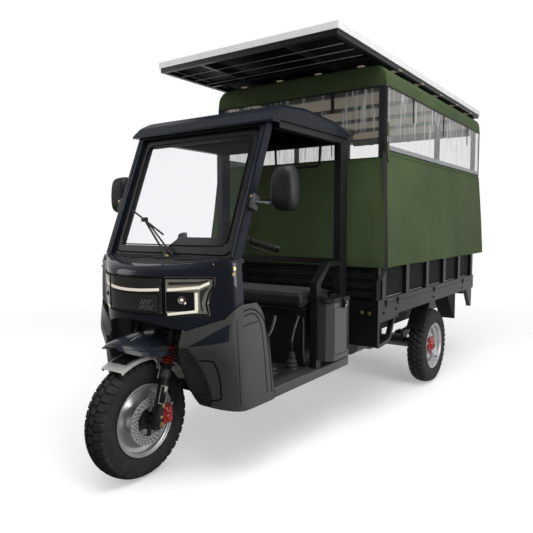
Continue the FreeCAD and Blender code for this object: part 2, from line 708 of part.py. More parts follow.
def under_crease(drop):
    """Everything below the nose's lower edge, lowered by a margin."""
    edge = [(x, z - drop) for x, z in CREASE]
    edge = [(-x, z) for x, z in edge[:0:-1]] + edge
    side = SILL_FACE + SEAM
    return prism_y([(-side, 0), (side, 0), (side, edge[-1][1])] + edge[::-1] + [(-side, edge[0][1])],
                   -300, SEAT_FRONT)


def nose_cowl():
    """Front cowl with its hood, open where the lamps and the grille panel go."""
    levels = nose_sections(NOSE_LEVELS)
    shell = skin(levels, 0, PANEL_WALL)
    rear = SCREEN_FOOT_Y + 30

    def lid(plan, z):
        edge = [V(x, y, z) for x, y in plan]
        return joined(edge, [V(edge[-1].x, rear, z), V(edge[0].x, rear, z)])

    hood = Part.makeLoft([lid(levels[-1][1], HOOD_EDGE_Z), lid(nose_curve(*HOOD_CROWN), HOOD_TOP_Z)],
                         True, False)
    under = block(-380, 380, 120, rear + 5, HOOD_EDGE_Z - 10, HOOD_TOP_Z - PANEL_WALL)
    bays = [prism_y(lamp_outline(SEAM), -300, 300), prism_y(grille_outline(SEAM), -300, 300)]
    bays.append(mirrored(bays[0]))
    return cut(fuse(cut(shell, under_crease(0), *bays), cut(hood, under)), *bays)


def leg_shield():
    """Lower front panel with the wheel-arch lip, wrapped round to the door opening."""
    return skin(SHIELD_LEVELS, 0, PANEL_WALL).common(under_crease(SEAM))


def cab_front():
    save("nose_cowl", nose_cowl())
    save("grille_panel", nose_insert(grille_outline, -GRILLE_HALF_SPAN, GRILLE_HALF_SPAN, 20))
    lamp = nose_insert(lamp_outline, GRILLE_HALF_SPAN + SEAM, LAMP_HALF_SPAN, 60)
    save("headlamps", *pair(lamp))
    save("leg_shields", *pair(leg_shield()))


# Windscreen and pillars lie in one plane that leans back by SCREEN_LEAN

def on_screen(shape):
    shape.rotate(V(0, 0, 0), V(1, 0, 0), -SCREEN_LEAN)
    shape.translate(V(0, SCREEN_FOOT_Y, SCREEN_FOOT_Z))
    return shape


def windscreen():
    half, border, depth = SCREEN_HALF_WIDTH, SCREEN_BORDER, SCREEN_FRAME_DEPTH
    below = block(-600, 600, 0, 600, 0, HOOD_TOP_Z + FIT)
    above = prism_x([(0, ROOF_EDGE_Z - 14), (900, ROOF_EDGE_Z - 14), (900, 2000), (0, 2000)], -600, 600)
    frame = block(-half, half, 0, depth, -20, SCREEN_HEIGHT)
    window = block(-half + border, half - border, -1, depth + 1, border, SCREEN_HEIGHT - border)
    rebate = block(-half + border - 12, half - border + 12, depth / 2 - GLASS_THICK / 2,
                   depth / 2 + GLASS_THICK / 2, border - 12, SCREEN_HEIGHT - border + 12)
    save("windscreen_frame", cut(on_screen(cut(frame, window, rebate)), below, above))
    glass = block(-half + border - 12 + FIT, half - border + 12 - FIT,
                  depth / 2 - GLASS_THICK / 2 + FIT, depth / 2 + GLASS_THICK / 2 - FIT,
                  border - 12 + FIT, SCREEN_HEIGHT - border + 12 - FIT)
    save("windscreen_glass", on_screen(glass))
    pillar = on_screen(block(half + FIT, half + SCREEN_PILLAR, -18, depth, -40, SCREEN_HEIGHT + 60))
    save("front_pillars", *pair(cut(pillar, below, above)))


def cab_roof():
    """Roof moulding with a brow over the windscreen and turned-down sides."""
    def side_view(inset):
        front, rear = ROOF_FRONT + inset, ROOF_REAR - inset
        top = ROOF_TOP_Z - inset
        return [(front, ROOF_EDGE_Z - 14), (front, ROOF_EDGE_Z - 4 - inset * 0.2),
                (front + 52, ROOF_EDGE_Z + 43 - inset), (ROOF_FRONT + 113, top - 16),
                (ROOF_FRONT + 300, top), (ROOF_REAR - 150, top - 16),
                (rear, top - 48), (rear, ROOF_EDGE_Z - 14)]

    outer = prism_x(side_view(0), -ROOF_HALF_WIDTH, ROOF_HALF_WIDTH)
    top_edges = [e for e in outer.Edges if abs(abs(e.CenterOfMass.x) - ROOF_HALF_WIDTH) < 1
                 and e.CenterOfMass.z > ROOF_EDGE_Z + 30 and e.BoundBox.YLength > 90]
    outer = outer.makeFillet(30, top_edges)
    inner = prism_x(side_view(ROOF_WALL), -ROOF_HALF_WIDTH + ROOF_WALL, ROOF_HALF_WIDTH - ROOF_WALL)
    inner = inner.makeFillet(24, [e for e in inner.Edges
                                  if abs(abs(e.CenterOfMass.x) - ROOF_HALF_WIDTH + ROOF_WALL) < 1
                                  and e.CenterOfMass.z > ROOF_EDGE_Z + 20 and e.BoundBox.YLength > 90])
    skirt = block(-600, 600, ROOF_FRONT + 60, ROOF_REAR + 50, ROOF_EDGE_Z - 20, ROOF_EDGE_Z)
    shell = cut(outer, inner, skirt)
    wall = ROOF_HALF_WIDTH - ROOF_WALL + 1
    soffit = block(-wall, wall, ROOF_FRONT + 1, ROOF_FRONT + 59, ROOF_EDGE_Z - 14 + FIT, ROOF_EDGE_Z - 8)
    ledge = block(-wall, wall, ROOF_FRONT + 58, ROOF_REAR - 1, ROOF_EDGE_Z, ROOF_EDGE_Z + 5)
    opening = block(-CAB_HALF_WIDTH + TUBE, CAB_HALF_WIDTH - TUBE, ROOF_FRONT + 62, PILLAR_Y + 25,
                    ROOF_EDGE_Z - 1, ROOF_EDGE_Z + 6)
    step = block(-wall, wall, ROOF_FRONT + 54, ROOF_FRONT + 59, ROOF_EDGE_Z - 9, ROOF_EDGE_Z + 5)
    top = ROOF_EDGE_Z - 7
    visor = prism_y([(-168, top), (-158, top - 30), (98, top - VISOR_DROP), (190, top - 44), (236, top)],
                    ROOF_FRONT + 54, ROOF_FRONT + 54 + VISOR_THICK)
    save("cab_roof", fuse(shell, soffit, step, cut(ledge, opening), visor))


def cab_frame():
    """Rear pillars, roof rails, backrest bar and the guard tubes beside the seat."""
    x1 = CAB_HALF_WIDTH
    x0 = x1 - TUBE
    top = ROOF_EDGE_Z - FIT
    rail_start = SCREEN_FOOT_Y + (top - SCREEN_FOOT_Z) * tan(radians(SCREEN_LEAN)) + 40
    pillar = block(x0, x1, PILLAR_Y, PILLAR_Y + PILLAR_DEPTH, SILL_TOP + FIT, top)
    rail = block(x0, x1, rail_start, PILLAR_Y + 1, top - 30, top)
    bend_y = GUARD_Y + GUARD_DEPTH + 82
    guard = prism_x([(GUARD_Y, SILL_TOP + FIT), (GUARD_Y + GUARD_DEPTH, SILL_TOP + FIT),
                     (GUARD_Y + GUARD_DEPTH, GUARD_BEND_Z - 8), (bend_y + 12, GUARD_TOP_Z - 25),
                     (PILLAR_Y + 1, GUARD_TOP_Z - 25), (PILLAR_Y + 1, GUARD_TOP_Z),
                     (bend_y, GUARD_TOP_Z), (GUARD_Y, GUARD_BEND_Z)], x0, x1)
    side = fuse(pillar, rail, guard)
    middle = PILLAR_Y + PILLAR_DEPTH / 2
    beams = [block(-x0 - 1, x0 + 1, middle - 15, middle + 15, z, z + 30)
             for z in (BACKREST_BAR_Z, top - 30)]
    ends, foot = HOOP_XS, top - 30 - HOOP_DROP
    hoop = bent_tube([(ends[0], middle, top - 25), (ends[0] + 6, middle, foot),
                      (ends[1] - 6, middle, foot), (ends[1], middle, top - 25)], HOOP_RADIUS, 34)
    save("cab_frame", fuse(side, mirrored(side), *beams, hoop))


def seat():
    half, sheet = SEAT_HALF_WIDTH - 20, SEAT_BOX_SHEET
    front, floor = SEAT_FRONT + SEAT_BASE_INSET, SILL_TOP + FIT
    top = SEAT_BOTTOM - SEAT_PAN - FIT
    inside_y = (front + sheet + FIT, SEAT_REAR - sheet - FIT)
    box = [block(-half, half, front, front + sheet, floor, top),
           block(-half, half, SEAT_REAR - sheet, SEAT_REAR, floor, top),
           *pair(block(half - sheet, half, *inside_y, floor, top)),
           block(-half + sheet + FIT, half - sheet - FIT, *inside_y, floor, SILL_TOP + sheet),
           block(-SEAT_HALF_WIDTH + 6, SEAT_HALF_WIDTH - 6, SEAT_FRONT + 14, SEAT_REAR,
                 SEAT_BOTTOM - SEAT_PAN, SEAT_BOTTOM - FIT)]
    save("seat_base", *box)
    cushion = block(-SEAT_HALF_WIDTH, SEAT_HALF_WIDTH, SEAT_FRONT, SEAT_REAR, SEAT_BOTTOM, SEAT_TOP)
    cushion = cushion.makeFillet(26, [e for e in cushion.Edges if e.CenterOfMass.z > SEAT_TOP - 1])
    save("seat_cushion", cushion)
    base = SILL_TOP + sheet + FIT
    battery = block(-BATTERY_WIDTH / 2, BATTERY_WIDTH / 2, front + BATTERY_MARGIN,
                    SEAT_REAR - BATTERY_MARGIN, base, base + BATTERY_HEIGHT)
    save("battery_pack", battery)


def cab_floor():
    """Pressed floor tub: floor, sills on both sides and the bulkhead behind the wheel."""
    face, sheet = SILL_FACE, FLOOR_SHEET
    front = SHIELD_LEVELS[0][1][-1][1] + FIT
    sill = block(face - 46, face, front, CAB_REAR, SILL_BOTTOM, SILL_TOP)
    sill = sill.makeFillet(10, [e for e in sill.Edges if abs(e.CenterOfMass.x - face) < 1
                                and e.BoundBox.YLength > 500])
    sill_hollow = block(face - 42, face - 6, front + 6, CAB_REAR - 6, SILL_BOTTOM - 1, SILL_TOP - 6)
    side = cut(sill, sill_hollow)
    floor = block(-face + 10, face - 10, BULKHEAD_Y, CAB_REAR, SILL_TOP - sheet, SILL_TOP)
    floor = cut(floor, block(-600, 600, 0, front, 0, 900).cut(block(-432, 432, 0, 600, 0, 900)))
    wall = block(-430, 430, BULKHEAD_Y, BULKHEAD_Y + sheet, SILL_TOP - sheet, BULKHEAD_TOP)
    save("cab_floor", fuse(floor, wall, side, mirrored(side)))


# Rolling chassis

def along_box(shares):
    """Places along the cargo box, as shares of its length."""
    return [BOX_FRONT + BOX_LENGTH * share for share in shares]


def chassis_frame():
    """Box-section rails, the lower frame under the cab, the backbone and the head tube.

    Each tube is a solid of its own that stops short of the tube it is welded to.
    """
    x0, x1 = RAIL_X - RAIL_WIDTH / 2, RAIL_X + RAIL_WIDTH / 2
    step = CAB_REAR + 20
    low_top = SILL_TOP - FLOOR_SHEET - FIT
    low_out = FLOOR_RAIL_X + RAIL_WIDTH / 2
    low_in = low_out - RAIL_WIDTH
    rail = block(x0, x1, step, BOX_REAR - 30, RAIL_BOTTOM, RAIL_TOP)
    riser = block(x0, x1, step, step + 60, SILL_BOTTOM, RAIL_BOTTOM - FIT)
    low = block(low_in, low_out, LOW_FRAME_FRONT, step - FIT, SILL_BOTTOM, low_top)
    low_cross = low_in - FIT
    high_cross = x0 - FIT
    crosses = [block(-low_cross, low_cross, y, y + 40, SILL_BOTTOM, low_top)
               for y in (LOW_FRAME_FRONT, SEAT_FRONT)]
    crosses.append(block(-high_cross, high_cross, step, step + 40, SILL_BOTTOM, low_top))
    crosses += [block(-high_cross, high_cross, y, y + 50, RAIL_TOP - 50, RAIL_TOP)
                for y in (*along_box(RAIL_CROSSES), BOX_REAR - 80)]
    bearers = [block(-BOX_HALF_WIDTH + 60, BOX_HALF_WIDTH - 60, y, y + 40, RAIL_TOP + FIT,
                     BOX_BOTTOM - FIT)
               for y in (BOX_FRONT + 20, *along_box(BEARERS), BOX_REAR - 90)]
    lower = on_fork(0, 0, LOWER_CROWN_Z + CROWN_DEPTH + PIVOT_GAP)
    upper = on_fork(0, 0, UPPER_CROWN_Z - PIVOT_GAP)
    head_radius = STEM_RADIUS + PIVOT_GAP + HEAD_TUBE_WALL
    bore = rod(on_fork(0, 0, 0), on_fork(0, 0, 700), STEM_RADIUS + PIVOT_GAP)
    head = cut(rod(lower, upper, head_radius), bore)
    round_head = rod(lower, upper, head_radius + FIT)
    knee = on_fork(0, 0, LOWER_CROWN_Z + 95)
    brow = on_fork(0, 0, UPPER_CROWN_Z - 60)
    back, tube = LOW_FRAME_FRONT + 36, BACKBONE_TUBE
    foot = low_top + FIT
    backbone = prism_x([(knee[1], knee[2] - tube), (back - tube, 590), (back - tube, foot), (back, foot),
                        (back, 610), (back - 12, 622), (knee[1], knee[2])], -tube / 2, tube / 2)
    ends = [(x, NOSE_STAY_Y, NOSE_STAY_Z) for x in (-NOSE_STAY_X, NOSE_STAY_X)]
    yoke = rod(*ends, YOKE_RADIUS)
    round_yoke = rod(*ends, YOKE_RADIUS + FIT)
    neck = cut(rod(brow, (0, NOSE_STAY_Y, NOSE_STAY_Z), NECK_RADIUS), round_head, round_yoke)
    stay = rod((FLOOR_RAIL_X, NOSE_STAY_Y, NOSE_STAY_Z),
               (FLOOR_RAIL_X, LOW_FRAME_FRONT + 20, SILL_BOTTOM + 24), STAY_RADIUS)
    stay = cut(stay, round_yoke, block(0, 500, 200, 400, 0, low_top + FIT))
    return [*pair(rail), *pair(riser), *pair(low), *crosses, *bearers, head,
            cut(backbone, round_head), yoke, neck, *pair(stay)]


def leaf_spring():
    """Semi-elliptic leaf pack, with its eyes hung from the rail and its clamp on the axle."""
    half = SPRING_SPAN / 2
    eye_z = RAIL_BOTTOM - 46
    seat_z = TYRE_RADIUS + AXLE_TUBE_RADIUS + 6
    leaves = []
    for i in range(LEAVES):
        reach = half * (1 - 0.2 * i)
        sag = eye_z - seat_z - LEAVES * LEAF_THICK
        low = seat_z + (LEAVES - 1 - i) * LEAF_THICK
        ends = low + sag * (reach / half) ** 2

        def strip(offset):
            return Part.Arc(V(0, WHEELBASE - reach, ends + offset), V(0, WHEELBASE, low + offset),
                            V(0, WHEELBASE + reach, ends + offset)).toShape()

        bottom, top = strip(0), strip(LEAF_THICK)
        tips = [Part.LineSegment(bottom.Vertexes[end].Point, top.Vertexes[end].Point).toShape()
                for end in (-1, 0)]
        outline = Part.Wire(Part.__sortEdges__([bottom, tips[0], top, tips[1]]))
        leaves.append(Part.Face(outline).extrude(V(LEAF_WIDTH, 0, 0)))
    eye_height = seat_z + LEAVES * LEAF_THICK + sag
    hangers = [block(0, LEAF_WIDTH, y - 16, y + 16, eye_height - 14, RAIL_BOTTOM - FIT)
               for y in (WHEELBASE - half, WHEELBASE + half)]
    clamp = block(-6, LEAF_WIDTH + 6, WHEELBASE - 45, WHEELBASE + 45,
                  TYRE_RADIUS + AXLE_TUBE_RADIUS * 0.6, seat_z + LEAVES * LEAF_THICK + 8)
    clamp = cut(clamp, rod((-50, WHEELBASE, TYRE_RADIUS), (100, WHEELBASE, TYRE_RADIUS),
                           AXLE_TUBE_RADIUS + FIT))
    spring = fuse(*leaves, *hangers, clamp)
    spring.translate(V(SPRING_X - LEAF_WIDTH / 2, 0, 0))
    return spring


def rear_axle():
    """Tube axle with its differential bulge, brake backplates and stub ends."""
    centre = (WHEELBASE, TYRE_RADIUS)
    inner_face = REAR_WHEEL_X - 56 - 5
    tube = rod((-inner_face, *centre), (inner_face, *centre), AXLE_TUBE_RADIUS)
    bulge = rod((DIFF_X - 60, *centre), (DIFF_X + 60, *centre), DIFF_RADIUS)
    bulge = bulge.makeFillet(28, [e for e in bulge.Edges if abs(e.BoundBox.XLength) < 1])
    plates = [rod((side * (inner_face - 10), *centre), (side * inner_face, *centre), 100)
              for side in (-1, 1)]
    stubs = [rod((side * (inner_face - 1), *centre), (side * (REAR_WHEEL_X + 38), *centre), AXLE_RADIUS)
             for side in (-1, 1)]
    return fuse(tube, bulge, *plates, *stubs)


def rear_mudguard():
    """Flat guard plates ahead of and behind the left rear wheel, bolted under the box."""
    inner, outer = REAR_WHEEL_X - TYRE_WIDTH / 2 - 4, REAR_WHEEL_X + TYRE_WIDTH / 2 - 1

    def beside_wheel(points):
        """Points given by their distance behind the tread's edge and below the box."""
        return [(WHEELBASE + y, BOX_BOTTOM - drop) for y, drop in points]

    ahead, behind = 11 - TYRE_RADIUS, TYRE_RADIUS + 24
    plate = prism_x(beside_wheel([(ahead + 125, FIT), (ahead + 129, 26), (ahead, 175), (ahead - 4, 173),
                                  (ahead + 111, 31), (ahead + 109, FIT)]), inner, outer)
    gusset = prism_x(beside_wheel([(behind, FIT), (behind + 192, FIT), (behind + 192, 199),
                                   (behind + 180, 199), (behind + 16, 35)]), outer - 6, outer)
    apron = prism_x(beside_wheel([(behind + 4, FIT), (behind + 8, FIT), (behind + 184, 199),
                                  (behind + 180, 199)]), inner, outer - 1)
    return [plate, fuse(apron, gusset)]


def running_gear():
    save("chassis_frame", *chassis_frame())
    save("rear_axle", rear_axle())
    motor = rod((DIFF_X, WHEELBASE - DIFF_RADIUS - FIT, TYRE_RADIUS + 10),
                (DIFF_X, WHEELBASE - DIFF_RADIUS - MOTOR_LENGTH, TYRE_RADIUS + 10), MOTOR_RADIUS)
    save("drive_motor", motor)
    save("leaf_springs", *pair(leaf_spring()))
    guards = rear_mudguard()
    save("rear_mudguards", *guards, *[mirrored(g) for g in guards])


# Cargo box

def box_floor():
    """Deck framed by its beams, with the slanted front cages and the rear legs below it."""
    half = BOX_HALF_WIDTH
    under = DECK_Z - DECK_SHEET - FIT
    foot = BOX_BOTTOM - FIT
    inner = half - SILL_BEAM - FIT
    deck = block(-inner, inner, BOX_FRONT + 40 + FIT, BOX_REAR - 40 - FIT, DECK_Z - DECK_SHEET, DECK_Z)
    beam = block(half - SILL_BEAM, half, BOX_FRONT, BOX_REAR, BOX_BOTTOM, DECK_Z)
    ends = [block(-inner, inner, y, y + 40, BOX_BOTTOM, DECK_Z) for y in (BOX_FRONT, BOX_REAR - 40)]
    middles = [block(-inner, inner, y, y + 40, BOX_BOTTOM, under) for y in along_box(BEARERS)]

    def below_box(y, points):
        """Points given by their distance behind y and their drop below the box."""
        return [(y + back, BOX_BOTTOM - drop) for back, drop in points]

    ring = below_box(BOX_FRONT, [(0, FIT), (264, FIT), (193, 136), (154, 157), (14, 167), (0, 159)])
    hole = below_box(BOX_FRONT, [(CAGE_TUBE, CAGE_TUBE), (234, CAGE_TUBE), (172, 125), (144, 135),
                                 (18, 144), (CAGE_TUBE, 139)])
    cage = cut(prism_x(ring, half - CAGE_WIDTH, half), prism_x(hole, half - CAGE_WIDTH - 1, half + 1))
    brace = block(half - 185, half - CAGE_WIDTH - FIT, BOX_FRONT, BOX_FRONT + 20, BOX_BOTTOM - 161, foot)
    leg = prism_x(below_box(BOX_REAR, [(-200, FIT), (-44, FIT), (-50, 151), (-80, 151)]),
                  half - CAGE_WIDTH, half)
    return [deck, *ends, *middles, *pair(beam), *pair(cage), *pair(brace), *pair(leg)]


def side_posts():
    """Where the box's upright ribs stand along each side."""
    first, last = BOX_FRONT + 60, BOX_REAR - SIDE_POST - 22
    return [first + (last - first) * i / (SIDE_POSTS - 1) for i in range(SIDE_POSTS)]


def box_side():
    """Left side of the box: lower rail, corner post, sheet with ribs outside it, and a top rail."""
    outer = BOX_HALF_WIDTH
    inner = outer - SIDE_THICK
    rail = block(inner, outer, BOX_FRONT, BOX_REAR, DECK_Z + FIT, SIDE_RAIL_TOP)
    seam = block(outer - 3, outer + 1, BOX_FRONT + 110, BOX_REAR - 60, SIDE_SEAM_Z, SIDE_SEAM_Z + 4)
    top = block(inner, outer, BOX_FRONT, BOX_REAR, SIDE_TOP - TOP_RAIL, SIDE_TOP)
    low, high = SIDE_RAIL_TOP + FIT, SIDE_TOP - TOP_RAIL - FIT
    corner_end = BOX_FRONT + 30
    corner = block(inner, outer, BOX_FRONT, corner_end, low, high)
    sheet_face = inner + 6 + SIDE_SHEET
    sheet = block(sheet_face - SIDE_SHEET, sheet_face, corner_end + FIT, BOX_REAR, low, high)
    ribs = [block(sheet_face + FIT, outer - 2, y, y + SIDE_POST, low, high) for y in side_posts()]
    return [cut(rail, seam), top, corner, sheet, *ribs]


def headboard():
    """Front wall of the box, a sheet pressed into horizontal ribs."""
    half = BOX_HALF_WIDTH - SIDE_THICK - FIT
    base = DECK_Z + FIT
    pitch = (SIDE_TOP - base) / HEADBOARD_RIBS
    outline = [(BOX_FRONT, base)]
    for i in range(HEADBOARD_RIBS):
        z = base + i * pitch
        outline += [(BOX_FRONT, z + pitch * 0.55), (BOX_FRONT + 14, z + pitch * 0.65),
                    (BOX_FRONT + 14, z + pitch * 0.9), (BOX_FRONT, z + pitch)]
    outline += [(BOX_FRONT + 20, SIDE_TOP), (BOX_FRONT + 20, base)]
    return prism_x(outline, -half, half)


def tailgate():
    """Drop-down tailgate between the box sides, on a hinge tube along its lower edge."""
    half = BOX_HALF_WIDTH - SIDE_THICK - TAILGATE_GAP
    y1 = BOX_REAR
    y0 = y1 - SIDE_THICK + 6
    base = DECK_Z + TAILGATE_GAP
    sheet = block(-half, half, y0 + 6, y0 + 6 + SIDE_SHEET, base, SIDE_TOP)
    rails = [block(-half, half, y0, y1, z0, z1)
             for z0, z1 in ((base, base + 40), (SIDE_TOP - TOP_RAIL, SIDE_TOP))]
    posts = [block(x - SIDE_POST / 2, x + SIDE_POST / 2, y0, y1, base, SIDE_TOP)
             for x in (-half + SIDE_POST / 2, -half / 3, half / 3, half - SIDE_POST / 2)]
    arms, bores = [], []
    for x in HINGE_XS:
        x0, x1 = x - KNUCKLE / 2, x + KNUCKLE / 2
        arms.append(fuse(rod((x0, HINGE_Y, HINGE_Z), (x1, HINGE_Y, HINGE_Z), HINGE_RADIUS),
                         block(x0, x1, y1 - 4, HINGE_Y, HINGE_Z, HINGE_Z + HINGE_RADIUS)))
        bores.append(rod((x0 - 1, HINGE_Y, HINGE_Z), (x1 + 1, HINGE_Y, HINGE_Z), PIN_RADIUS + PIVOT_GAP))
    return cut(fuse(sheet, *rails, *posts, *arms), *bores)


def tailgate_hinges():
    """Ears and pins on the rear beam, one pair round each knuckle of the tailgate."""
    hinges = []
    for x in HINGE_XS:
        inner = KNUCKLE / 2 + PIVOT_GAP
        ears = []
        for x0 in (x - inner - 8, x + inner):
            ears.append(block(x0, x0 + 8, BOX_REAR + FIT, HINGE_Y + HINGE_RADIUS, HINGE_Z - 34, HINGE_Z))
            ears.append(rod((x0, HINGE_Y, HINGE_Z), (x0 + 8, HINGE_Y, HINGE_Z), HINGE_RADIUS))
        pin = rod((x - inner - 1, HINGE_Y, HINGE_Z), (x + inner + 1, HINGE_Y, HINGE_Z), PIN_RADIUS)
        hinges.append(fuse(*ears, pin))
    return hinges


def rear_end():
    """Tail lamps and the blank plate bracket under the rear beam."""
    lamp_end = BOX_HALF_WIDTH - 65
    lamp = block(lamp_end - 120, lamp_end, BOX_REAR + FIT, BOX_REAR + 34, BOX_BOTTOM + 4, BOX_BOTTOM + 42)
    lamp = lamp.makeFillet(6, [e for e in lamp.Edges if e.CenterOfMass.y > BOX_REAR + 33])
    save("tail_lamps", *pair(lamp))
    front, back = BOX_REAR + FIT, BOX_REAR + 3
    plate = block(-PLATE_WIDTH / 2, PLATE_WIDTH / 2, front, back, PLATE_Z, PLATE_Z + PLATE_HEIGHT)
    tab = block(-60, 60, front, back, PLATE_Z, BOX_BOTTOM + 24)
    middle = PLATE_Z + PLATE_HEIGHT / 2
    holes = [rod((x, front - 5, middle), (x, back + 5, middle), PLATE_HOLE_RADIUS)
             for x in (-PLATE_HOLE_SPACING / 2, PLATE_HOLE_SPACING / 2)]
    save("plate_bracket", cut(fuse(plate, tab), *holes))


def cargo_box():
    save("box_floor", *box_floor(), *tailgate_hinges())
    side = box_side()
    save("box_sides", *side, *[mirrored(piece) for piece in side])
    save("box_headboard", headboard())
    save("tailgate", tailgate())
    rear_end()


# Canopy and its curtains

def canopy_bows():
    """Where the hoops of the canopy frame stand along the box."""
    first, last = CANOPY_FRONT + 14, BOX_REAR - BOW_TUBE - 8
    return [first + (last - first) * i / (BOWS - 1) for i in range(BOWS)]


def canopy_frame():
    """Square-tube hoops that stand on the box sides, with long rails between them."""
    x1 = CANOPY_HALF_WIDTH - CANVAS - 6
    x0 = x1 - BOW_TUBE
    top = CANOPY_TOP - CANVAS - FIT
    eaves = top - SHOULDER_DROP - 10
    hoops = []
    for i, y in enumerate(canopy_bows()):
        if i in (0, 2, BOWS - 1):
            hoops.append(block(x0, x1, y, y + BOW_TUBE, SIDE_TOP + FIT, eaves))
            hoops.append(block(-x1, -x0, y, y + BOW_TUBE, SIDE_TOP + FIT, eaves))
        hoops.append(block(-x0 + 20, x0 - 20, y, y + BOW_TUBE, top - BOW_TUBE, top))
    rails = [block(x0, x1, CANOPY_FRONT + 14, CANOPY_REAR - CANVAS - 10, eaves - BOW_TUBE, eaves)]
    rails.append(block(x0 - 50, x0 - 19, CANOPY_FRONT + 14, CANOPY_REAR - CANVAS - 10, top - BOW_TUBE, top))
    header = block(-x0 - 1, x0 + 1, canopy_bows()[-1], canopy_bows()[-1] + BOW_TUBE,
                   VALANCE_BOTTOM, VALANCE_BOTTOM + BOW_TUBE)
    links = [prism_y([(x1, eaves - BOW_TUBE), (x1, eaves), (x0 - 20, top), (x0 - 50, top - BOW_TUBE),
                      (x0, eaves - BOW_TUBE)], y, y + BOW_TUBE) for y in canopy_bows()]
    side = fuse(*rails, *links)
    return fuse(side, mirrored(side), header, *hoops)


def canopy_cover():
    """Canvas roof with sloped shoulders and a valance all round, open underneath."""
    def hood(shrink):
        half = CANOPY_HALF_WIDTH - shrink
        top = CANOPY_TOP - shrink
        foot = VALANCE_BOTTOM - (1 if shrink else 0)
        return [(-half, foot), (half, foot), (half - 4, top - SHOULDER_DROP), (half - SHOULDER_INSET, top),
                (-half + SHOULDER_INSET, top), (-half + 4, top - SHOULDER_DROP)]

    outer = prism_y(hood(0), CANOPY_FRONT, CANOPY_REAR)
    inner = prism_y(hood(CANVAS), CANOPY_FRONT + CANVAS, CANOPY_REAR - CANVAS)
    return cut(outer, inner)


def hang(x_top, x_bottom, y0, y1, z0, z1, cut_corner=0):
    """A sheet of canvas that hangs along Y and flares from its top to its hem."""
    sheet = prism_y([(x_top, z1), (x_top + CANVAS, z1), (x_bottom + CANVAS, z0), (x_bottom, z0)], y0, y1)
    corner = prism_x([(y1 + 1, z0 - 1), (y1 - cut_corner, z0 - 1), (y1 + 1, z0 + cut_corner)], 0, 900)
    return sheet.cut(corner) if cut_corner else sheet


def curtains():
    """Canvas side curtains below the clear windows, and the front curtain."""
    x = CANOPY_HALF_WIDTH - CANVAS + FIT
    side = hang(x, x + HEM_FLARE, CANOPY_FRONT + CANVAS, HEM_REAR, HEM_Z, WINDOW_BOTTOM - FIT, 40)
    half = CANOPY_HALF_WIDTH - CANVAS
    top, foot, hem = CANOPY_FRONT - FIT, BOX_FRONT - FIT, SIDE_TOP + CANVAS
    front = prism_x([(top - CANVAS, WINDOW_BOTTOM - FIT), (top, WINDOW_BOTTOM - FIT), (foot, hem),
                     (foot, HEM_Z), (foot - CANVAS, HEM_Z), (foot - CANVAS, hem)], -half, half)
    save("curtains", *pair(side), front)
    pane = block(x, x + WINDOW_FILM, CANOPY_FRONT + CANVAS, CANOPY_REAR, WINDOW_BOTTOM, VALANCE_BOTTOM - FIT)
    front_pane = block(-half, half, CANOPY_FRONT - FIT - WINDOW_FILM, CANOPY_FRONT - FIT,
                       WINDOW_BOTTOM, VALANCE_BOTTOM - FIT)
    save("clear_windows", *pair(pane), front_pane)
    roll_y = canopy_bows()[-1] + BOW_TUBE + FIT + ROLL_RADIUS
    roll = rod((-half + 60, roll_y, VALANCE_BOTTOM), (half - 60, roll_y, VALANCE_BOTTOM), ROLL_RADIUS)
    save("rear_curtain_roll", roll)


def solar_panel():
    """Framed panel over the whole vehicle, on an underframe of rails and cross tubes."""
    half = PANEL_HALF_WIDTH
    bottom = PANEL_TOP - PANEL_FRAME_DEPTH
    ring = block(-half, half, PANEL_FRONT, PANEL_REAR, bottom, PANEL_TOP)
    inside = block(-half + PANEL_FRAME_WIDTH, half - PANEL_FRAME_WIDTH, PANEL_FRONT + PANEL_FRAME_WIDTH,
                   PANEL_REAR - PANEL_FRAME_WIDTH, bottom - 1, PANEL_TOP + 1)
    lip = half - 4
    groove = block(-lip, lip, PANEL_FRONT + 4, PANEL_REAR - 4, PANEL_TOP - 4 - PANEL_SHEET, PANEL_TOP - 4)
    save("panel_frame", cut(ring, inside, groove))
    laminate = block(-lip + FIT, lip - FIT, PANEL_FRONT + 4 + FIT, PANEL_REAR - 4 - FIT,
                     PANEL_TOP - 4 - PANEL_SHEET + FIT, PANEL_TOP - 4 - FIT)
    save("panel_laminate", laminate)
    top = bottom - FIT
    low = CANOPY_TOP + FIT
    outer = half - 8
    rails = [block(x, x + UNDERFRAME_TUBE, PANEL_FRONT + 6, PANEL_REAR - 6, low, top)
             for x in (-outer, -UNDERFRAME_RAIL_X, UNDERFRAME_RAIL_X - UNDERFRAME_TUBE,
                       outer - UNDERFRAME_TUBE)]
    bays = [(-outer + UNDERFRAME_TUBE, -UNDERFRAME_RAIL_X),
            (-UNDERFRAME_RAIL_X + UNDERFRAME_TUBE, UNDERFRAME_RAIL_X - UNDERFRAME_TUBE),
            (UNDERFRAME_RAIL_X, outer - UNDERFRAME_TUBE)]
    first, last = PANEL_FRONT + 6, PANEL_REAR - 6 - UNDERFRAME_TUBE
    crosses = []
    for i in range(UNDERFRAME_CROSSES):
        y = first + (last - first) * i / (UNDERFRAME_CROSSES - 1)
        crosses += [block(x0 + FIT, x1 - FIT, y, y + UNDERFRAME_TUBE, low, top) for x0, x1 in bays]
    save("panel_underframe", *rails, *crosses)


def canopy():
    save("canopy_frame", canopy_frame())
    save("canopy_cover", canopy_cover())
    curtains()
    solar_panel()


# Toolbox, mirrors and small cab fittings

def toolbox_plan(shrink):
    x0, x1 = CAB_HALF_WIDTH + FIT + shrink, TOOLBOX_FACE - shrink
    y0, y1 = TOOLBOX_FRONT + shrink, TOOLBOX_REAR - shrink
    return [(x0, y0), (x1 - TOOLBOX_CHAMFER, y0), (x1, y0 + TOOLBOX_CHAMFER), (x1, y1), (x0, y1)]


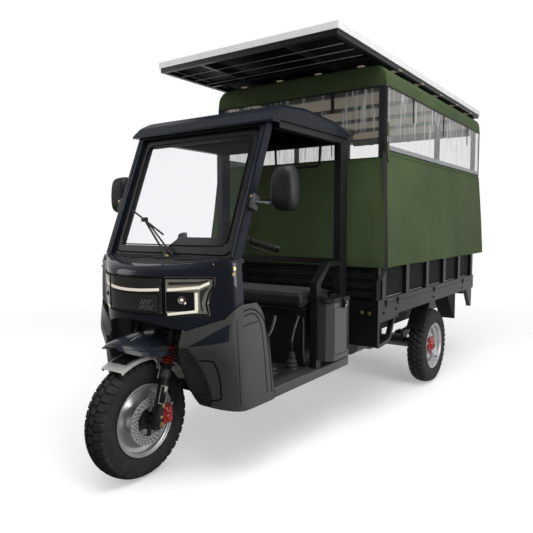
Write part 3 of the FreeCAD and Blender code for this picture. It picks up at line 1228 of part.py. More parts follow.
def toolbox():
    """Steel toolbox outside the guard, with a lid hinged above its inner edge."""
    body = prism_z(toolbox_plan(0), TOOLBOX_BOTTOM, TOOLBOX_TOP)
    inside = prism_z(toolbox_plan(TOOLBOX_WALL), TOOLBOX_BOTTOM + TOOLBOX_WALL, TOOLBOX_TOP + 1)
    body = cut(body, inside)
    lid_top = TOOLBOX_TOP + LID_GAP + LID_DEPTH
    inner_edge = CAB_HALF_WIDTH + FIT
    axis_x, axis_z = inner_edge + 12, lid_top + LID_PIN_RADIUS - 1
    lid = prism_z(toolbox_plan(-3), TOOLBOX_TOP + LID_GAP, lid_top)
    lid = cut(lid, block(0, axis_x, 0, 2000, 0, 2000))
    strip = block(inner_edge, axis_x - 1, TOOLBOX_FRONT, TOOLBOX_REAR, TOOLBOX_TOP - 4, lid_top - 6)
    body = fuse(body, strip)
    latch = block(TOOLBOX_FACE + 2, TOOLBOX_FACE + 12, LATCH_Y - 14, LATCH_Y + 14,
                  TOOLBOX_TOP - 34, TOOLBOX_TOP + LID_DEPTH - 4)
    strap = block(TOOLBOX_FACE + 1, TOOLBOX_FACE + 3, LATCH_Y - 12, LATCH_Y + 12,
                  TOOLBOX_TOP + LID_GAP, TOOLBOX_TOP + 10)
    knuckles, notches = [], []
    for y in (TOOLBOX_FRONT + 50, TOOLBOX_REAR - 50):
        knuckles.append(rod((axis_x, y - 22, axis_z), (axis_x, y + 22, axis_z), LID_PIN_RADIUS))
        for y0 in (y - 18, y + 14):
            wing = block(inner_edge, axis_x + 7, y0, y0 + 4, TOOLBOX_TOP - 20, axis_z + 7)
            bore = rod((axis_x, y0 - 1, axis_z), (axis_x, y0 + 5, axis_z), LID_PIN_RADIUS + PIVOT_GAP)
            body = fuse(body, cut(wing, bore))
            notches.append(block(0, axis_x + 12, y0 - 5, y0 + 9, TOOLBOX_TOP, lid_top + 1))
    save("toolbox", body)
    save("toolbox_lid", fuse(cut(lid, *notches), *knuckles, latch, strap))


def mirror():
    """Left mirror: a rounded head on a bent arm from the front pillar."""
    x, y, z = MIRROR_CENTRE
    head = prism_y([(x - 62, z - 88), (x + 50, z - 96), (x + 64, z - 80), (x + 60, z + 78),
                    (x + 46, z + 96), (x - 48, z + 96), (x - 62, z + 80)], y - 18, y + 22)
    head = head.makeFillet(14, [e for e in head.Edges if e.CenterOfMass.y < y - 17])
    side = SCREEN_HALF_WIDTH + SCREEN_PILLAR
    arm = bent_tube([(side + 8, MIRROR_ARM_Y, MIRROR_ARM_Z), (x - 50, y - 50, MIRROR_ARM_Z - 12),
                     (x - 30, y + 2, z - 70)], 9, 22)
    bracket = on_screen(block(side + FIT, side + 10, -16, 16, 195, 285))
    return fuse(head, arm, bracket)


def wiper():
    """Single wiper: pivot on the hood, arm and blade laid against the glass."""
    pivot = (WIPER_X, SCREEN_FOOT_Y - 26, HOOD_TOP_Z)
    spindle = rod((pivot[0], pivot[1], pivot[2] + FIT), (pivot[0], pivot[1], pivot[2] + 34), 9)
    lean = tan(radians(SCREEN_LEAN))

    def on_glass(x, z, off):
        return (x, SCREEN_FOOT_Y + (z - SCREEN_FOOT_Z) * lean - off, z)

    elbow = (pivot[0], pivot[1], pivot[2] + 24)
    arm = rod(elbow, on_glass(-146, 1150, 16), 5)
    blade = rod(on_glass(-262, 1212, 10), on_glass(-36, 1092, 10), 5)
    joint = rod(on_glass(-146, 1150, 16), on_glass(-150, 1152, 9), 6)
    return fuse(spindle, arm, blade, joint)


def pedals():
    """Brake pedal on the bulkhead and the parking-brake lever beside the seat."""
    pedal = bent_tube([(PEDAL_X, BULKHEAD_Y + FLOOR_SHEET + FIT, 545), (PEDAL_X, BULKHEAD_Y + 60, 545),
                       (PEDAL_X, BULKHEAD_Y + 96, 455)], 7, 20)
    pad = block(PEDAL_X - 32, PEDAL_X + 32, BULKHEAD_Y + 86, BULKHEAD_Y + 96, 415, 470)
    lever = bent_tube([(LEVER_X, 640, SILL_TOP + FIT), (LEVER_X, 640, 470), (LEVER_X, 600, 640)], 8, 60)
    knob = rod((LEVER_X, 606, 620), (LEVER_X, 586, 690), 13)
    return [fuse(pedal, pad), fuse(lever, knob)]


def fittings():
    toolbox()
    save("mirrors", *pair(mirror()))
    save("wiper", wiper())
    save("pedal_and_lever", *pedals())
    rear = SCREEN_FOOT_Y + 30 + FIT
    shelf = block(-SCREEN_HALF_WIDTH, SCREEN_HALF_WIDTH, rear, rear + DASHBOARD_DEPTH,
                  HOOD_EDGE_Z + 6, HOOD_EDGE_Z + 14)
    save("dashboard", shelf)


def build():
    os.makedirs("parts", exist_ok=True)
    wheels()
    steering()
    cab_front()
    windscreen()
    cab_roof()
    cab_frame()
    seat()
    cab_floor()
    running_gear()
    cargo_box()
    canopy()
    fittings()


build()
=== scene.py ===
# %% [markdown]
# # An electric rickshaw, from frame to finish
#
# A three-wheeled vehicle with an open cab, a cargo box under a canvas canopy, and a solar panel
# as its roof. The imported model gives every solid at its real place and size. This lesson dresses
# it: paint, rubber, cloth, glass and the small things that a designer would add by hand. All
# numbers are metres in the model's own frame, with Z up, Y running rearwards and X to the left.

# %% Load the frame
import bmesh
import bpy
import json
import math
import random
from mathutils import Matrix, Vector


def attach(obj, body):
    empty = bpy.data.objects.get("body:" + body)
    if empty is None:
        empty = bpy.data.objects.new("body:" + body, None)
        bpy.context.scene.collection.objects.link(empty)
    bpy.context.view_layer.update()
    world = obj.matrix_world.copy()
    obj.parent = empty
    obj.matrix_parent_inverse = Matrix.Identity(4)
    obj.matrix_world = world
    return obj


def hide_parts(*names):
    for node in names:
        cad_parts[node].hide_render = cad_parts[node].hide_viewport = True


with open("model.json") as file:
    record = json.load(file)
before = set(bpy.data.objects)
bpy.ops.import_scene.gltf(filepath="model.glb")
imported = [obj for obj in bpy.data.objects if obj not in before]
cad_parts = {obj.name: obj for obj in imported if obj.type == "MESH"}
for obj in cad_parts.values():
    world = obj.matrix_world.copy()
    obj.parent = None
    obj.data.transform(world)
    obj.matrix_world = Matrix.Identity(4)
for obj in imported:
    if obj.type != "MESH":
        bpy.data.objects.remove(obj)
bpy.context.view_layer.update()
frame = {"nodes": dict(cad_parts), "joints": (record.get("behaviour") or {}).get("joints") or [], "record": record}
joints = {joint["name"]: joint for joint in frame["joints"]}
FRONT_AXLE = Vector(joints["front_axle_spin"]["pos_m"])
REAR_AXLE = Vector(joints["rear_axle_spin_left"]["pos_m"])

# %% [markdown]
# ## Places and small helpers
#
# Sizes on a vehicle are easiest to think of in millimetres from the front axle, so one helper turns
# such a point into the frame's metres. The others make a mesh from rows of points, collect boxes
# and tubes into one mesh, and hand a finished piece to the frame.


# %% Points and rows
def at(x, y, z):
    """A point in millimetres, with Y measured rearwards from the front axle."""
    return Vector((x / 1000, FRONT_AXLE.y + y / 1000, z / 1000))


# Directions to look along: from the front, from the vehicle's left, and from above.
AHEAD, ASIDE, DOWN = Vector((0, 1, 0)), Vector((-1, 0, 0)), Vector((0, 0, -1))


def linked(name, data):
    """An object for a mesh, a curve, a lamp or a camera, put into the scene."""
    thing = bpy.data.objects.new(name, data)
    bpy.context.scene.collection.objects.link(thing)
    return thing


def mesh_object(name, vertices, faces, material):
    mesh = bpy.data.meshes.new(name)
    mesh.from_pydata([tuple(v) for v in vertices], [], faces)
    mesh.materials.append(material)
    return linked(name, mesh)


def lofted(name, rows, material, around=False, along=False, caps=False):
    """Quads between rows of points, closed round each row or from the last row to the first."""
    count, length = len(rows), len(rows[0])
    vertices = [p for row in rows for p in row]
    faces = []
    for i in range(count if along else count - 1):
        for j in range(length if around else length - 1):
            a, b = i * length, (i + 1) % count * length
            k = (j + 1) % length
            faces.append((a + j, a + k, b + k, b + j))
    if caps:
        faces.append(tuple(reversed(range(length))))
        faces.append(tuple(range((count - 1) * length, count * length)))
    thing = mesh_object(name, vertices, faces, material)
    recalculated(thing)
    return thing


def recalculated(thing):
    """Merges doubles and turns every face outwards."""
    work = bmesh.new()
    work.from_mesh(thing.data)
    bmesh.ops.remove_doubles(work, verts=work.verts, dist=1e-6)
    bmesh.ops.recalc_face_normals(work, faces=work.faces)
    work.to_mesh(thing.data)
    work.free()


print("the front axle is at", [round(v, 3) for v in FRONT_AXLE])


# %% Shading, modifiers and joining
def smoothed(thing, angle=35):
    """Smooth shading that keeps edges sharper than the angle."""
    work = bmesh.new()
    work.from_mesh(thing.data)
    for face in work.faces:
        face.smooth = True
    for edge in work.edges:
        if len(edge.link_faces) == 2:
            edge.smooth = edge.calc_face_angle(0) < math.radians(angle)
    work.to_mesh(thing.data)
    work.free()
    return thing


def modified(thing, kind, **settings):
    """Adds a modifier and applies it at once, so that the mesh is the finished shape."""
    modifier = thing.modifiers.new(kind.title(), kind)
    for key, value in settings.items():
        setattr(modifier, key, value)
    applied(thing)
    return thing


def applied(thing):
    """Turns the object and its modifiers into one plain mesh."""
    graph = bpy.context.evaluated_depsgraph_get()
    mesh = bpy.data.meshes.new_from_object(thing.evaluated_get(graph))
    thing.modifiers.clear()
    thing.data = mesh
    return thing


def moved(thing, matrix):
    thing.data.transform(matrix)
    return thing


def joined(name, things, material=None):
    """One object from several; each keeps its own material unless one is given."""
    vertices, faces, slots, smooth, materials, hard = [], [], [], [], [], set()
    for thing in things:
        base = len(vertices)
        vertices += [v.co.copy() for v in thing.data.vertices]
        own = [material] if material else list(thing.data.materials)
        for m in own:
            if m not in materials:
                materials.append(m)
        for polygon in thing.data.polygons:
            faces.append([base + i for i in polygon.vertices])
            slots.append(materials.index(own[0 if material else polygon.material_index]))
            smooth.append(polygon.use_smooth)
        hard |= {(base + min(e.vertices), base + max(e.vertices)) for e in thing.data.edges
                 if e.use_edge_sharp}
    result = mesh_object(name, vertices, faces, materials[0])
    for m in materials[1:]:
        result.data.materials.append(m)
    result.data.polygons.foreach_set("material_index", slots)
    result.data.polygons.foreach_set("use_smooth", smooth)
    for edge in result.data.edges:
        edge.use_edge_sharp = (min(edge.vertices), max(edge.vertices)) in hard
    for thing in things:
        bpy.data.objects.remove(thing)
    return result


print("pieces can be smoothed, modified, moved and joined")


# %% Boxes and bars
def slab(low, high, material, bevel=0.0015, segments=2):
    """A rounded box between two corners."""
    low, high = Vector(map(min, low, high)), Vector(map(max, low, high))
    corners = [(x, y, z) for x in (low.x, high.x) for y in (low.y, high.y) for z in (low.z, high.z)]
    faces = [(0, 1, 3, 2), (4, 6, 7, 5), (0, 4, 5, 1), (2, 3, 7, 6), (0, 2, 6, 4), (1, 5, 7, 3)]
    thing = mesh_object("slab", corners, faces, material)
    recalculated(thing)
    if bevel:
        size = min(high - low)
        modified(thing, "BEVEL", width=min(bevel, size * 0.45), segments=segments)
    return smoothed(thing)


def swept(points, radius, material, order=3, resolution=6, sides=10, closed=False):
    """A round bar along a smooth line through or near the points, with closed ends."""
    curve = bpy.data.curves.new("line", "CURVE")
    curve.dimensions = "3D"
    spline = curve.splines.new("NURBS")
    spline.points.add(len(points) - 1)
    for point, place in zip(spline.points, points):
        point.co = (*place, 1)
    spline.order_u = min(order, len(points))
    spline.use_endpoint_u = not closed
    spline.use_cyclic_u = closed
    spline.resolution_u = resolution
    curve.bevel_depth = radius
    curve.bevel_resolution = max(1, sides // 4)
    curve.use_fill_caps = True
    line = linked("line", curve)
    graph = bpy.context.evaluated_depsgraph_get()
    mesh = bpy.data.meshes.new_from_object(line.evaluated_get(graph))
    bpy.data.objects.remove(line)
    mesh.materials.clear()
    mesh.materials.append(material)
    thing = linked("bar", mesh)
    recalculated(thing)
    return smoothed(thing, 50)


def looped(corners, radius, material, sides=8):
    """A round bar that follows a closed line of corners exactly."""
    return swept(corners, radius, material, order=2, resolution=1, sides=sides, closed=True)


print("boxes and bars are ready")


# %% Turned pieces, and handing a piece over
def turned(profile, material, axis="X", steps=64, centre=Vector(), closed=False):
    """A solid of revolution from (along, radius) points; a closed profile makes a ring."""
    turns = {"X": lambda a, r, t: (a, r * math.cos(t), r * math.sin(t)),
             "Y": lambda a, r, t: (r * math.cos(t), a, r * math.sin(t)),
             "Z": lambda a, r, t: (r * math.cos(t), r * math.sin(t), a)}
    rows = [[Vector(turns[axis](a, r, 2 * math.pi * i / steps)) + centre for a, r in profile]
            for i in range(steps)]
    return smoothed(lofted("turned", rows, material, around=closed, along=True))


def drum(low, high, radius, material, steps=32):
    """A short cylinder about the Z axis."""
    return turned([(low, 0), (low, radius), (high, radius), (high, 0)], material, "Z", steps)


def dressed(thing, name, body, replaces=()):
    """Names a finished piece, or joins the list of its parts, and gives it to the frame."""
    if isinstance(thing, list):
        thing = joined(name, thing)
    thing.name = name
    thing.data.name = name
    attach(thing, body)
    if replaces:
        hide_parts(*replaces)
    print(name, len(thing.data.polygons), "faces")
    return thing


print("turned pieces are ready")

# %% [markdown]
# ## Camera
#
# The photograph was taken from ahead and to the vehicle's left, a little above the seat. The place
# and the lens were solved from the wheels and the box, whose sizes are known, so the picture's lines
# fall where the photograph's do. The sensor is 36 mm wide and the frame is square.

# %% Camera
CAMERA_PLACE = (1.8518, -3.158, 1.1252)
CAMERA_TURN = 35.181
CAMERA_DIP = 4.367
CAMERA_LENS = 37.07
SENSOR_MM = 36

camera = linked("camera", bpy.data.cameras.new("camera"))
camera.location = CAMERA_PLACE
camera.rotation_euler = (math.radians(90 - CAMERA_DIP), 0, math.radians(CAMERA_TURN))
camera.data.lens = CAMERA_LENS
camera.data.sensor_width = SENSOR_MM
bpy.context.scene.camera = camera
bpy.context.scene.view_settings.view_transform = "Standard"
print("camera at", CAMERA_PLACE)

# %% [markdown]
# ## One way to add a node
#
# Materials and Geometry Nodes are both trees of nodes. One small function adds any node, sets its
# properties and fills its inputs with values or with links, which keeps a tree readable from top to
# bottom. Colours are written as the hex values that a painter would pick and made linear here.


# %% Nodes and colours
def add(tree, kind, inputs=None, **settings):
    node = tree.nodes.new(kind)
    for key, value in settings.items():
        setattr(node, key, value)
    for key, value in (inputs or {}).items():
        if isinstance(value, bpy.types.NodeSocket):
            tree.links.new(value, node.inputs[key])
        else:
            node.inputs[key].default_value = value
    return node


def linear(code):
    """An sRGB hex colour as linear red, green, blue and a full alpha."""
    parts = [int(code[i:i + 2], 16) / 255 for i in (1, 3, 5)]
    return tuple(c / 12.92 if c <= 0.04045 else ((c + 0.055) / 1.055) ** 2.4 for c in parts) + (1.0,)


def material(name, colour, roughness, **sockets):
    """A Principled material, returned with its tree, its shader and its object coordinates."""
    made = bpy.data.materials.new(name)
    made.use_nodes = True
    tree = made.node_tree
    shader = tree.nodes["Principled BSDF"]
    shader.inputs["Base Color"].default_value = linear(colour)
    shader.inputs["Roughness"].default_value = roughness
    for key, value in sockets.items():
        shader.inputs[key.replace("_", " ")].default_value = value
    place = add(tree, "ShaderNodeTexCoord").outputs["Object"]
    return made, tree, shader, place


def grain(tree, place, size_mm, detail=2.0):
    """Noise whose lumps are about size_mm across."""
    return add(tree, "ShaderNodeTexNoise", {"Vector": place, "Scale": 1000 / size_mm,
                                            "Detail": detail}).outputs["Fac"]


print("grey 50% is", round(linear("#808080")[0], 3), "in linear light")

# %% [markdown]
# ## Studio
#
# The photograph has a white ground that fades into white, with one soft shadow. A big pale disc is
# the floor. The world is white where the camera or a window looks, and dimmer where it lights the
# object, so that the white background doesn't wash the colours out. A mirror sees a studio that is
# dark at eye level, with a bright band of soft boxes above, and on the far side the white backdrop.
# That is what gives dark car paint its clear highlights. The floor gives back less light from below
# than it shows, because the undersides in the picture are nearly black. A few metres away it turns
# into the same plain white as the world, so no horizon shows. A big soft lamp hangs overhead, a
# strong one fills from the picture's right and a weak one from its left.

# %% World
WORLD_LIGHT = 0.45
# How bright a mirror sees the studio, by how far up it looks: (height, brightness).
MIRRORED = ((0.0, 0.12), (0.16, 0.14), (0.26, 1.25), (0.38, 1.25), (0.5, 0.7), (0.7, 0.8), (0.86, 0.8),
            (1.0, 0.75))
BACKDROP_LIGHT = 0.66
WHITE = (1, 1, 1, 1)


def seen_directly(tree):
    """The Light Path node, and whether a ray comes straight from the camera or through glass."""
    ray = add(tree, "ShaderNodeLightPath")
    return ray, add(tree, "ShaderNodeMath", {0: ray.outputs["Is Camera Ray"],
                                             1: ray.outputs["Is Transmission Ray"]}, operation="MAXIMUM")


world = bpy.data.worlds.new("studio")
bpy.context.scene.world = world
world.use_nodes = True
sky = world.node_tree
sky.nodes.clear()
ray, seen = seen_directly(sky)
lit = add(sky, "ShaderNodeBackground", {"Color": WHITE, "Strength": WORLD_LIGHT})
shown = add(sky, "ShaderNodeBackground", {"Color": WHITE, "Strength": 1.0})
height = add(sky, "ShaderNodeSeparateXYZ", {0: add(sky, "ShaderNodeTexCoord").outputs["Generated"]})
wall = add(sky, "ShaderNodeValToRGB", {"Fac": height.outputs["Z"]})
stops = wall.color_ramp.elements
for i, (position, value) in enumerate(MIRRORED):
    stop = stops[i] if i < 1 else (stops[1] if i == len(MIRRORED) - 1 else stops.new(position))
    stop.position = position
for stop, (position, value) in zip(stops, MIRRORED):
    stop.color = (value, value, value, 1)
behind = add(sky, "ShaderNodeMapRange", {"Value": height.outputs["Y"], "From Min": -0.1, "From Max": 0.4},
             interpolation_type="SMOOTHSTEP")
backdrop = add(sky, "ShaderNodeMapRange", {"Value": height.outputs["Z"], "From Min": 0.2, "From Max": 0.8,
                                           "To Min": BACKDROP_LIGHT, "To Max": 0.2})
near_side = add(sky, "ShaderNodeBackground", {"Color": wall.outputs[0], "Strength": 1.0})
far_side = add(sky, "ShaderNodeBackground", {"Color": WHITE, "Strength": backdrop.outputs[0]})
mirrored = add(sky, "ShaderNodeMixShader", {0: behind.outputs[0], 1: near_side.outputs[0],
                                            2: far_side.outputs[0]})
both = add(sky, "ShaderNodeMixShader", {0: ray.outputs["Is Glossy Ray"], 1: lit.outputs[0],
                                        2: mirrored.outputs[0]})
both = add(sky, "ShaderNodeMixShader", {0: seen.outputs[0], 1: both.outputs[0], 2: shown.outputs[0]})
add(sky, "ShaderNodeOutputWorld", {"Surface": both.outputs[0]})
print("a world of", len(sky.nodes), "nodes")

# %% Floor
FLOOR_RADIUS, FLOOR_SIDES = 60.0, 96
FLOOR_BOUNCE, FLOOR_LIFT = 0.16, 0.3
FADE_FROM, FADE_TO = 2.6, 5.2

paper, tree, shader, place = material("pale_floor_paint", "#f4f4f3", 0.9, Specular_IOR_Level=0.1)
ray, seen = seen_directly(tree)
away = add(tree, "ShaderNodeVectorMath", {0: place}, operation="LENGTH")
fade = add(tree, "ShaderNodeMapRange", {"Value": away.outputs["Value"], "From Min": FADE_FROM,
                                         "From Max": FADE_TO}, interpolation_type="SMOOTHSTEP")
white = add(tree, "ShaderNodeEmission", {"Color": WHITE, "Strength": 1.0})
lift = add(tree, "ShaderNodeEmission", {"Color": WHITE, "Strength": FLOOR_LIFT})
near = add(tree, "ShaderNodeAddShader", {0: shader.outputs[0], 1: lift.outputs[0]})
shown = add(tree, "ShaderNodeMixShader", {0: fade.outputs[0], 1: near.outputs[0], 2: white.outputs[0]})
across = add(tree, "ShaderNodeSeparateXYZ", {0: place})
sheen = add(tree, "ShaderNodeMapRange", {"Value": across.outputs["Y"], "From Min": -1.8, "From Max": 1.6,
                                         "To Min": 0.1, "To Max": BACKDROP_LIGHT})
bounce = add(tree, "ShaderNodeMapRange", {"Value": ray.outputs["Is Glossy Ray"], "To Min": FLOOR_BOUNCE,
                                          "To Max": sheen.outputs[0]})
bounce = add(tree, "ShaderNodeEmission", {"Color": WHITE, "Strength": bounce.outputs[0]})
both = add(tree, "ShaderNodeMixShader", {0: seen.outputs[0], 1: bounce.outputs[0], 2: shown.outputs[0]})
tree.links.new(both.outputs[0], tree.nodes["Material Output"].inputs["Surface"])
edge = [Vector((FLOOR_RADIUS * math.cos(2 * math.pi * i / FLOOR_SIDES),
                FLOOR_RADIUS * math.sin(2 * math.pi * i / FLOOR_SIDES), 0)) for i in range(FLOOR_SIDES)]
floor = mesh_object("floor", edge, [tuple(range(FLOOR_SIDES))], paper)
print("floor", FLOOR_RADIUS, "m in radius")


# %% Lamps
def lamp(name, place, aim, size, power):
    """A soft square lamp that looks at a point."""
    light = bpy.data.lights.new(name, "AREA")
    light.size = size
    light.energy = power
    thing = linked(name, light)
    thing.location = place
    thing.rotation_euler = (Vector(aim) - Vector(place)).to_track_quat("-Z", "Y").to_euler()
    return thing


lamp("overhead", (1.2, -1.2, 5.2), (0, 0, 0.6), 4.5, 190)
lamp("right_fill", (6.0, -1.2, 2.2), (0, -0.1, 0.8), 3.0, 150)
lamp("left_fill", (-4.6, -3.6, 3.0), (0, -0.5, 0.9), 3.0, 45)
print("three lamps")

# %% [markdown]
# ## Paint, powder coat and bare metal
#
# Car paint is a dark colour coat with fine flakes under a clear layer, so it has a soft sheen and
# above it a sharp reflection. Powder coat is melted on in one thick layer, which leaves a slight
# orange peel. Both get their skin from a noise as fine as the real one, and a little dust that
# dulls the gloss on broad areas.

# %% Painted metals
FLAKE_MM = 0.9
PEEL_MM = 6.0
DUST_MM = 260.0
finish = {}


def bumped(tree, shader, height, depth_mm):
    """Tilts the surface by a height pattern that is depth_mm deep."""
    bump = add(tree, "ShaderNodeBump", {"Height": height, "Distance": depth_mm / 1000, "Strength": 1.0})
    tree.links.new(bump.outputs[0], shader.inputs["Normal"])
    return bump


def varied(tree, shader, socket, pattern, low, high):
    """Sends a pattern to a number socket between two values."""
    span = add(tree, "ShaderNodeMapRange", {"Value": pattern, "To Min": low, "To Max": high})
    tree.links.new(span.outputs[0], shader.inputs[socket])


def tinted(tree, shader, pattern, dark, light, low=0.3, high=0.7):
    """Sends a pattern to the colour, between a dark and a light hex value."""
    ramp = add(tree, "ShaderNodeValToRGB", {"Fac": pattern})
    ramp.color_ramp.elements[0].position, ramp.color_ramp.elements[1].position = low, high
    ramp.color_ramp.elements[0].color = linear(dark)
    ramp.color_ramp.elements[1].color = linear(light)
    tree.links.new(ramp.outputs[0], shader.inputs["Base Color"])


def finished(name, colour, roughness, tint=None, matt=None, peel=None, **sockets):
    """A material whose colour, roughness and skin each follow a noise of their own.

    tint is (mm, detail, dark, light), matt (mm, detail, low, high) and peel (mm, detail, depth in mm).
    """
    made, tree, shader, place = material(name, colour, roughness, **sockets)
    if tint:
        tinted(tree, shader, grain(tree, place, *tint[:2]), *tint[2:])
    if matt:
        varied(tree, shader, "Roughness", grain(tree, place, *matt[:2]), *matt[2:])
    if peel:
        bumped(tree, shader, grain(tree, place, *peel[:2]), peel[2])
    return made


paint = finish["body_paint"] = finished("midnight_blue_car_paint", "#10151e", 0.42,
        tint=(FLAKE_MM, 2, "#0d121a", "#1b2431"), matt=(DUST_MM, 4, 0.36, 0.52), peel=(PEEL_MM, 0, 0.02),
        Metallic=0.2, Coat_Weight=0.9, Coat_Roughness=0.03, Coat_IOR=1.42, Specular_IOR_Level=0.3)

powder = finish["powder_coat"] = finished("black_powder_coat", "#121316", 0.42,
        tint=(DUST_MM, 4, "#0f1013", "#191a1d"), matt=(DUST_MM, 4, 0.34, 0.52), peel=(1.6, 1, 0.03),
        Coat_Weight=0.2, Coat_Roughness=0.25, Specular_IOR_Level=0.35)

red_paint = finish["red_metal"] = finished("red_enamel", "#a31a17", 0.28,
        tint=(40, 4, "#8d1412", "#b3201c"), peel=(3, 1, 0.02), Coat_Weight=0.6, Coat_Roughness=0.08)
print("painted finishes:", sorted(finish))

# %% [markdown]
# ## Metals
#
# The rims and the small guard are steel sprayed silver, the trim is chromed, the axle is rough cast
# alloy and the bolts are zinc plated and passivated yellow. The colour of a metal is the colour of
# its reflection; what tells them apart is how much each one scatters it. The solar panel's frame is
# anodised to a matt white, which hardly reads as metal.

# %% Metals
silver = finish["silver_steel"] = finished("silver_sprayed_steel", "#c4c5c7", 0.36,
        tint=(60, 5, "#b6b7b9", "#cfd0d2"), matt=(90, 4, 0.3, 0.46), peel=(1.2, 2, 0.015), Metallic=0.6)

chrome = finish["chrome_plate"] = finished("chrome_plate", "#dcdde0", 0.07, matt=(30, 3, 0.05, 0.13),
        Metallic=1.0)

cast = finish["cast_alloy"] = finished("rough_cast_alloy", "#6b6c6e", 0.6,
        tint=(25, 5, "#545557", "#747577"), peel=(2.5, 3, 0.12), Metallic=0.9)

zinc = finished("yellow_zinc_plate", "#c4ad78", 0.32, tint=(6, 3, "#ae9660", "#d8c48f"), Metallic=0.9)

anodised = finish["panel_aluminium"] = finished("white_anodised_aluminium", "#f3f4f4", 0.34,
        tint=(150, 3, "#efefee", "#f7f8f8"), matt=(12, 3, 0.28, 0.42))
print("metals:", silver.name, chrome.name, cast.name, zinc.name, anodised.name)

# %% [markdown]
# ## Rubber, plastic and vinyl
#
# Tyre rubber is dark grey rather than black, dusty on the flanks and blind to fine light. Moulded
# plastic carries a leather-like spark texture. The seat is stretched vinyl: smoother, with pebbled
# grain and a soft highlight.

# %% Rubber, plastic, vinyl
tyre_black = finish["tyre_rubber"] = finished("tyre_rubber", "#262523", 0.72,
        tint=(35, 5, "#1b1c1e", "#2b2c2f"), matt=(20, 4, 0.7, 0.88), peel=(2.2, 3, 0.12))

soft_rubber = finish["rubber"] = finished("soft_rubber", "#1a1b1c", 0.66, peel=(1.5, 2, 0.08),
        tint=(25, 3, "#161718", "#212223"))

plastic, tree, shader, place = material("grained_black_polypropylene", "#1c1d1f", 0.52)
cells = add(tree, "ShaderNodeTexVoronoi", {"Vector": place, "Scale": 1000 / 1.6})
bumped(tree, shader, cells.outputs["Distance"], 0.08)
tinted(tree, shader, grain(tree, place, 120, 3), "#18191b", "#222326")
finish["black_plastic"] = plastic

finish["battery_case"] = finished("moulded_abs", "#2d3d50", 0.45, peel=(1.4, 2, 0.05),
        tint=(80, 2, "#28374a", "#324357"))

vinyl, tree, shader, place = material("black_seat_vinyl", "#1e1e20", 0.34, Sheen_Weight=0.12)
pebbles = add(tree, "ShaderNodeTexVoronoi", {"Vector": place, "Scale": 1000 / 2.4})
bumped(tree, shader, pebbles.outputs["Distance"], 0.12)
varied(tree, shader, "Roughness", grain(tree, place, 50, 4), 0.34, 0.52)
tinted(tree, shader, grain(tree, place, 110, 3), "#161618", "#232326")
finish["seat_vinyl"] = vinyl
print("soft finishes ready")

# %% [markdown]
# ## Canvas, clear film and glass
#
# The canopy is woven polyester canvas with a dull coating: the weave is a crossed pair of fine waves,
# drawn three times as coarse as the real 0.8 mm thread so that it shows. The film of the windows is
# soft PVC that never lies flat, so it mirrors the studio in broken bands. Its creases are noise drawn
# out upwards and leant a little: they bump the film, and their ridges make it milkier, a painted
# highlight for the bright streaks, which fades towards the foot. Window glass is thin, so light goes
# straight through it, and only its reflection and a faint tint are seen. Light Path lets shadow rays
# pass, as they do through a real pane.

# %% Canvas
THREAD_MM = 2.4

canvas, tree, shader, place = material("woven_green_canvas", "#4d5f3d", 0.86, Sheen_Weight=0.04,
                                       Sheen_Roughness=0.5, Specular_IOR_Level=0.2)
threads = []
for direction in ("X", "Y", "Z"):
    wave = add(tree, "ShaderNodeTexWave", {"Vector": place, "Scale": 1000 / THREAD_MM / 20 * math.pi},
               wave_type="BANDS", bands_direction=direction)
    threads.append(wave.outputs["Fac"])
crossed = add(tree, "ShaderNodeMath", {0: threads[0], 1: threads[1]}, operation="ADD")
crossed = add(tree, "ShaderNodeMath", {0: crossed.outputs[0], 1: threads[2]}, operation="ADD")
bumped(tree, shader, crossed.outputs[0], 0.14)
tinted(tree, shader, grain(tree, place, 600, 3), "#415031", "#4d5e3b", 0.3, 0.7)
finish["canvas"] = canvas
# The backing glows faintly: painted light that brightens the shaded underside of the cover and the pads.
lining = finished("pale_canvas_backing", "#a2988b", 0.85, tint=(420, 4, "#93897c", "#b0a698"),
        peel=(9, 2, 0.3), Emission_Strength=0.22, Emission_Color=linear("#c9b9a4"),
        Specular_IOR_Level=0.2)
print("canvas threads every", THREAD_MM, "mm")

# %% Clear film
CREASE_MM = 26.0


def see_through(name, colour, roughness, tint, clear, ior=1.5):
    """A thin clear sheet: a glossy Principled skin over plain transparency.

    clear is the share of light that goes straight through, tint is the colour it takes.
    """
    made, tree, shader, place = material(name, colour, roughness, IOR=ior)
    straight = add(tree, "ShaderNodeBsdfTransparent", {"Color": linear(tint)})
    facing = add(tree, "ShaderNodeLayerWeight", {"Blend": 0.25})
    skin = add(tree, "ShaderNodeMapRange", {"Value": facing.outputs["Facing"], "From Min": 0.2,
                                            "From Max": 0.95, "To Min": 1 - clear, "To Max": 0.75})
    inside = add(tree, "ShaderNodeNewGeometry").outputs["Backfacing"]
    skin = add(tree, "ShaderNodeMapRange", {"Value": inside, "To Min": skin.outputs[0],
                                            "To Max": (1 - clear) * 0.3})
    shadow = add(tree, "ShaderNodeLightPath").outputs["Is Shadow Ray"]
    share = add(tree, "ShaderNodeMapRange", {"Value": shadow, "To Min": skin.outputs[0],
                                             "To Max": (1 - clear) * 0.5})
    mixed = add(tree, "ShaderNodeMixShader", {0: share.outputs[0], 1: straight.outputs[0],
                                              2: shader.outputs[0]})
    tree.links.new(mixed.outputs[0], tree.nodes["Material Output"].inputs["Surface"])
    return made, tree, shader, place


